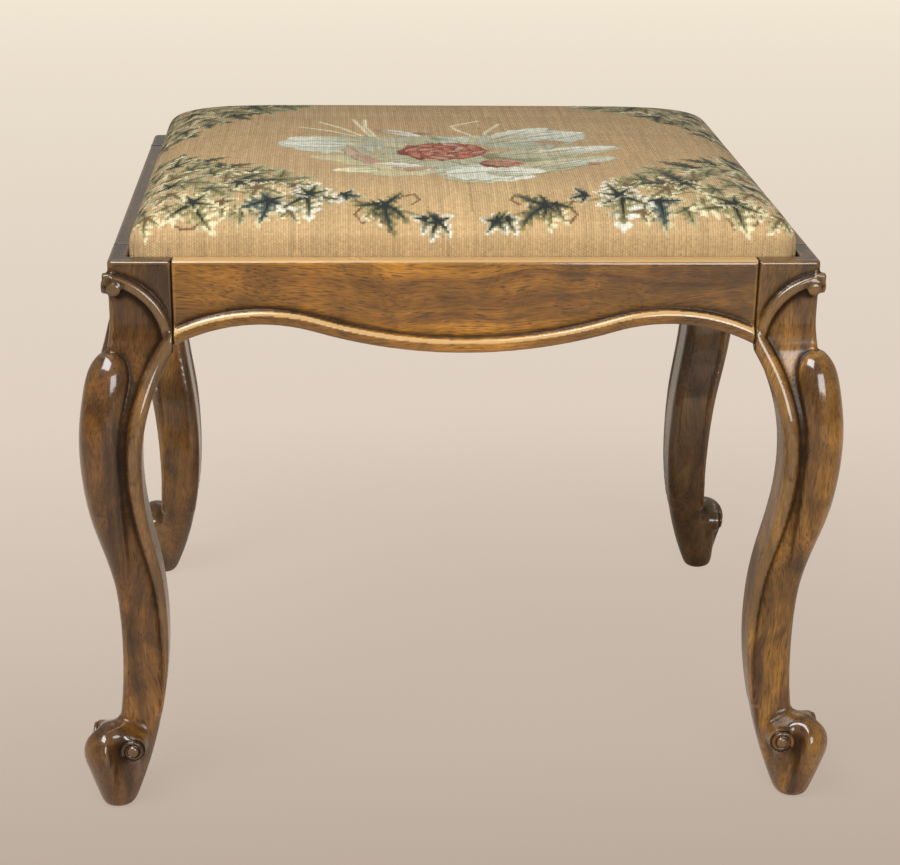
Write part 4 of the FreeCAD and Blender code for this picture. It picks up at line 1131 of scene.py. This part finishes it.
# The bouquet: pale stalks behind, a bed of pale leaves, three white flowers, pink buds and a red rose. Each
# lobe is given by its base, the way it points, its length and width, and its wools.
stalk_width = 3.0
STALKS = (
    [(-108, 60), (-90, 36), (-70, 0)],
    [(-124, 40), (-100, 26), (-80, 6)],
    [(-80, 70), (-74, 40), (-66, 0)],
    [(-70, 70), (-70, 40), (-62, 0)],
    [(25, 66), (2, 46), (4, 32), (24, -6)],
    [(42, 54), (28, 20), (24, -26)],
)
for points in STALKS:
    stem(points, "cream", stalk_width)
BOUQUET = (
    (-30, -46, 150, 74, 46, "dove", "sage"), (-20, -20, 168, 70, 36, "dove", "bone"),
    (-10, -30, 120, 44, 34, "dove", "sage"), (-30, -70, 196, 62, 34, "dove", "bone"),
    (-52, -84, 163, 66, 25, "sage", "bone"), (-44, -106, 183, 54, 19, "sage", "cream"),
    (-20, -84, 222, 58, 34, "dove", "bone"), (10, -90, 200, 84, 36, "dove", "bone"),
    (-10, -80, -50, 62, 44, "dove", "sage"), (10, -60, -30, 74, 44, "dove", "bone"),
    (10, -20, 50, 34, 34, "dove", "bone"), (4, -30, 84, 34, 32, "sage", "pearl"),
    (20, -66, -6, 74, 34, "olive", "dove"), (34, -64, 15, 104, 36, "dove", "bone"),
    (60, -58, 20, 76, 24, "sage", "white"), (34, -118, 28, 104, 30, "dove", "bone"),
    (62, -104, 26, 72, 16, "sage", "pearl"),
    (-56, -30, 169, 86, 62, "dove", "pearl"), (-70, -18, 163, 66, 30, "sage", "white"),
    (-70, -44, 174, 58, 22, "dove", "pearl"), (-86, -26, 170, 52, 22, "pearl", "white"),
    (22, -24, 24, 98, 64, "dove", "pearl"), (30, -8, 40, 70, 30, "sage", "white"),
    (40, -22, 16, 72, 24, "dove", "pearl"), (60, 2, 20, 54, 22, "pearl", "white"),
    (66, -16, -4, 26, 16, "rose", "fawn"),
    (-20, -120, 16, 70, 30, "dove", "pearl"), (-16, -126, -4, 72, 30, "sage", "white"),
    (-12, -122, 6, 76, 36, "pearl", "white"), (20, -118, 4, 46, 20, "dove", "white"),
    (-84, -34, -76, 66, 18, "rose", "dove"), (-80, -60, -64, 44, 12, "rose", "coral"),
    (-68, -94, -20, 48, 24, "bone", "white"), (-52, -102, -18, 30, 14, "rose", "white"),
    (-44, -110, 16, 24, 10, "coral", "rose"),
    (-60, 30, -38, 42, 15, "rose", "white"), (-62, 32, -50, 16, 9, "coral", "rose"),
    (-30, 18, -24, 16, 8, "red", "coral"), (-18, 0, -14, 26, 12, "slate", "pearl"),
    (16, -90, -2, 36, 24, "wine", "coral"), (22, -88, -6, 28, 15, "coral", "red"),
    (100, -90, 6, 12, 8, "red", "coral"),
)
petal_curve = 0.05
petal_shade = 0.5
petal_ragged = 0.1
# Each has a darker line round it, larger than itself by this much, and a fold turned a little from its way.
line_length, line_width = 1, 3
fold_turn, fold_length, fold_width = 5, 0.75, 2.4
for x, y, heading, length, width, root, tip in BOUQUET:
    lobe(
        x, y, heading, length + line_length, width + line_width, "olive", "dove", petal_curve,
        ragged=petal_ragged,
    )
    lobe(x, y, heading, length, width, root, tip, petal_curve, petal_shade, ragged=petal_ragged)
    lobe(x, y, heading + fold_turn, fold_length * length, fold_width, "olive", "dove", petal_curve)
# The rose: a dark ragged bed, and petals wrapped round its middle. Each ring has its radius, its petals,
# their length and their width. A petal leans along the ring, curls, and is paler inside a dark line.
ROSE_BED = (-47, -54, 6, 76, 50)
rose_middle = (-9, -48)
rose_spread = (1.25, 1.0)
ROSE_RINGS = ((17, 8, 26, 18), (10, 6, 20, 15), (3, 4, 14, 11))
bed_ragged = 0.3
ring_turn = 5
petal_lean = 78
petal_curl = 0.3
rose_shade = 0.8
inside_length, inside_width = 2, 4
lobe(*ROSE_BED, "wine", "coral", ragged=bed_ragged)
for ring, petals, length, width in ROSE_RINGS:
    for k in range(petals):
        turn = 360 * k / petals + ring_turn * ring
        x = rose_middle[0] + rose_spread[0] * ring * math.cos(math.radians(turn))
        y = rose_middle[1] + rose_spread[1] * ring * math.sin(math.radians(turn))
        way = turn + petal_lean
        pale = "rose" if k % 2 else "coral"
        lobe(x, y, way, length, width, "wine", "wine", petal_curl)
        lobe(x, y, way, length - inside_length, width - inside_width, "red", pale, petal_curl, rose_shade)

# Stitches take the average of some strokes at their middle, a little run into their neighbours. Wool is dyed
# by the hank: stitches and needlefuls along a rib differ, and faint bars show where a new hank was begun.
# The front is painted paler than the back, a painted light that falls off towards the back.
strokes_taken = 2
total = np.zeros((2 * lines + 1, 2 * columns + 1, 3))
total[1:, 1:] = drawing.cumsum(axis=0).cumsum(axis=1)
far, near = slice(strokes_taken, None), slice(None, -strokes_taken)
averaged = (total[far, far] - total[far, near] - total[near, far] + total[near, near]) / strokes_taken ** 2


def drawn_at(places):
    """Colours of the averaged drawing at places given in stitches from the middle of the seat."""
    spot = np.floor(places * strokes_per_stitch - strokes_taken / 2).astype(int) + (columns, lines)
    across = np.clip(spot[:, 0], 0, averaged.shape[1] - 1)
    back = np.clip(spot[:, 1], 0, len(averaged) - 1)
    return averaged[back, across]


# Rows of stitches to a hank, stitches to a needleful, and how far each may differ in tone. The tables of
# tones hold more ribs and needlefuls than the cover has.
hank_rows = 6
hank_change = 0.025
stitch_change = 0.06
needleful_stitches = 26
needleful_start = 30
needleful_change = 0.06
place_digits = 2
tones_kept, rows_kept, needlefuls_kept = 500, 400, 60
run_in = 0.3
# How much paler the front and darker the back are painted: painted light falling off towards the back.
front_tone, back_tone = 1.08, 0.72
faces = len(mesh.polygons)
corner_uv = np.empty(len(mesh.loops) * 2)
mesh.uv_layers["cloth"].data.foreach_get("uv", corner_uv)
corner_uv = corner_uv.reshape(-1, 2)
middles = corner_uv.reshape(-1, 4, 2).mean(axis=1)
hank = np.floor(middles[:, 1] / hank_rows).astype(int) + tones_kept
hanks = picker.normal(1.0, hank_change, 2 * tones_kept)[hank]
single = picker.normal(1.0, stitch_change, faces)
# Extruding gives the faces of the sides no fixed order, so their tones go by their place on the canvas.
skirt = np.flatnonzero((np.abs(middles) * stitch > (cloth_half_x, cloth_half_y)).any(axis=1))
by_place = skirt[np.lexsort(middles[skirt].round(place_digits).T)]
single[by_place] = single[skirt]
rib = np.floor(middles[:, 0]).astype(int) + tones_kept
begun = picker.uniform(0, needleful_start, 2 * tones_kept)[rib]
needleful = np.floor((middles[:, 1] + rows_kept + begun) / needleful_stitches).astype(int)
single *= picker.normal(1.0, needleful_change, (2 * tones_kept, needlefuls_kept))[rib, needleful]
painted_falloff = np.interp(middles[:, 1] * stitch, (-half_y, half_y), (front_tone, back_tone))
colours = np.ones((len(mesh.loops), 4))
colours[:, :3] = run_in * drawn_at(corner_uv) + (1 - run_in) * np.repeat(drawn_at(middles), 4, axis=0)
colours[:, :3] *= np.repeat(hanks * single * painted_falloff, 4)[:, None]
thread = mesh.attributes.new("thread", "FLOAT_COLOR", "CORNER")
thread.data.foreach_set("color", np.clip(colours, 0, 1).ravel())


def stitched_wool():
    material, shader = new_material("wool_needlework")
    cloth = add(material, "ShaderNodeUVMap", uv_map="cloth").outputs[0]
    # One stitch of 1.8 mm is one unit of the map: ribs one stitch apart, and slanted stitches along each.
    # A wave repeats once a unit at this scale.
    once = math.pi / 10
    ribs = add(material, "ShaderNodeTexWave", {"Vector": cloth, "Scale": once}, bands_direction="X")
    slant = add(material, "ShaderNodeMapping", {"Vector": cloth, "Rotation": (0, 0, math.radians(28))})
    slanted = {"Vector": slant.outputs[0], "Scale": once}
    ticks = add(material, "ShaderNodeTexWave", slanted, bands_direction="Y")
    fuzz = add(material, "ShaderNodeTexNoise", {"Vector": cloth, "Scale": 2.2, "Detail": 3.0})
    wool_colour = add(material, "ShaderNodeAttribute", attribute_name="thread").outputs["Color"]
    # The colour is darker in the gaps between ribs, a painted shade, beside the bump that the ribs give.
    shade = add(
        material,
        "ShaderNodeMapRange",
        {"Value": ribs.outputs["Fac"], "From Min": 0.0, "From Max": 0.7, "To Min": 0.84, "To Max": 1.06},
    )
    rib_gap_shaded = add(
        material, "ShaderNodeVectorMath", {0: wool_colour, "Scale": shade.outputs[0]}, operation="SCALE"
    )
    hair = add(
        material,
        "ShaderNodeMapRange",
        {"Value": fuzz.outputs["Fac"], "From Min": 0.3, "From Max": 0.7, "To Min": 0.9, "To Max": 1.1},
    )
    hairy = add(
        material, "ShaderNodeVectorMath", {0: rib_gap_shaded.outputs[0], "Scale": hair.outputs[0]}, operation="SCALE"
    )
    both = add(material, "ShaderNodeMath", {0: ticks.outputs["Fac"], 1: 0.45}, operation="MULTIPLY")
    height = add(material, "ShaderNodeMath", {0: ribs.outputs["Fac"], 1: both.outputs[0]})
    relief = add(
        material, "ShaderNodeBump", {"Height": height.outputs[0], "Strength": 0.55, "Distance": 0.0006}
    )
    finish = {
        "Base Color": hairy.outputs[0],
        "Normal": relief.outputs[0],
        "Roughness": 0.88,
        "Sheen Weight": 0.05,
        "Sheen Roughness": 0.5,
        "Specular IOR Level": 0.25,
    }
    set_inputs(material, shader, finish)
    return material


cover_skin = 0.0016
mesh.polygons.foreach_set("use_smooth", [True] * faces)
wall = cover.modifiers.new("canvas", "SOLIDIFY")
wall.thickness = cover_skin
stands_for(cover, "needlework_cover", "seat", stitched_wool())


# Studio: a sheet of plain pale paper that runs back as the floor and backdrop, one wide soft lamp
# overhead, a weaker one from the front and a faint one behind, and the camera at the photograph's place.
floor_half = 40.0
floor_near, floor_far = -0.32, 4.0
PAPER = ((0.0, "#bcac9d"), (0.09, "#d0c0b1"), (0.22, "#e3d4c5"), (1.0, "#fdf2dd"))
paper_glow = 0.86
bm = bmesh.new()
bmesh.ops.create_grid(bm, x_segments=1, y_segments=1, size=floor_half)
floor = new_piece("floor", bm)
backdrop, shader = new_material("paper_backdrop")
place = add(backdrop, "ShaderNodeTexCoord").outputs["Object"]
depth = add(backdrop, "ShaderNodeSeparateXYZ", {0: place}).outputs[1]
fade = add(backdrop, "ShaderNodeMapRange", {"Value": depth, "From Min": floor_near, "From Max": floor_far})
tone = add(backdrop, "ShaderNodeValToRGB", {"Fac": fade.outputs[0]})
for share, _ in PAPER[1:-1]:
    tone.color_ramp.elements.new(share)
for stop, (share, colour) in zip(tone.color_ramp.elements, PAPER):
    stop.position = share
    stop.color = linear(colour)
lit = add(backdrop, "ShaderNodeEmission", {"Color": tone.outputs["Color"], "Strength": 1.0})
rays = add(backdrop, "ShaderNodeLightPath")
seen = add(
    backdrop, "ShaderNodeMath", {0: rays.outputs["Is Camera Ray"], 1: paper_glow}, operation="MULTIPLY"
)
paper = add(
    backdrop,
    "ShaderNodeMixShader",
    {0: seen.outputs[0], 1: shader.outputs["BSDF"], 2: lit.outputs["Emission"]},
)
finish = {"Base Color": tone.outputs["Color"], "Roughness": 0.95, "Specular IOR Level": 0.1}
set_inputs(backdrop, shader, finish)
set_inputs(backdrop, backdrop.node_tree.nodes["Material Output"], {"Surface": paper.outputs["Shader"]})
floor.data.materials.append(backdrop)

# Each lamp: its place, what it points at, its width and height, and its power.
SOFT_LAMPS = (
    ("key", (-0.75, -1.15, 2.1), (0.0, -0.1, 0.3), 1.5, 1.0, 45.0),
    ("fill", (0.9, -2.3, 0.9), (0.0, 0.0, 0.25), 1.2, 0.9, 22.0),
    ("back", (0.3, 2.4, 1.9), (0.0, 0.0, 0.42), 2.0, 1.0, 3.0),
)
for name, spot, aim, width, height, power in SOFT_LAMPS:
    lamp = bpy.data.lights.new(name, "AREA")
    lamp.shape = "RECTANGLE"
    lamp.size = width
    lamp.size_y = height
    lamp.energy = power
    shining = bpy.data.objects.new(name, lamp)
    shining.location = spot
    shining.rotation_euler = (Vector(aim) - Vector(spot)).to_track_quat("-Z", "Y").to_euler()
    bpy.context.scene.collection.objects.link(shining)

world = bpy.data.worlds.new("studio")
bpy.context.scene.world = world
world.use_nodes = True
sky = world.node_tree.nodes["Background"]
# The room is seen paler than it lights.
sky_light, sky_seen = 0.3, 0.85
seen = add(world, "ShaderNodeLightPath").outputs["Is Camera Ray"]
glow = add(world, "ShaderNodeMapRange", {"Value": seen, "To Min": sky_light, "To Max": sky_seen})
set_inputs(world, sky, {"Color": linear("#f4f1ea"), "Strength": glow.outputs[0]})

camera_place = Vector((-0.097, -1.609, 0.836))
camera_turn, camera_tilt, camera_roll = -0.0616, 0.3613, 0.0166
level = Vector((-math.sin(camera_turn), math.cos(camera_turn), 0))
ahead = level * math.cos(camera_tilt) - Vector((0, 0, math.sin(camera_tilt)))
above = level * math.sin(camera_tilt) + Vector((0, 0, math.cos(camera_tilt)))
right = ahead.cross(above)
roll = Matrix.Rotation(-camera_roll, 3, ahead)
axes = Matrix((roll @ right, roll @ above, -ahead)).transposed().to_4x4()
lens = bpy.data.cameras.new("camera")
lens.lens = 80.0
lens.sensor_width = 36.0
camera = bpy.data.objects.new("camera", lens)
camera.matrix_world = Matrix.Translation(camera_place) @ axes
bpy.context.scene.collection.objects.link(camera)
bpy.context.scene.camera = camera
bpy.context.scene.view_settings.view_transform = "Standard"
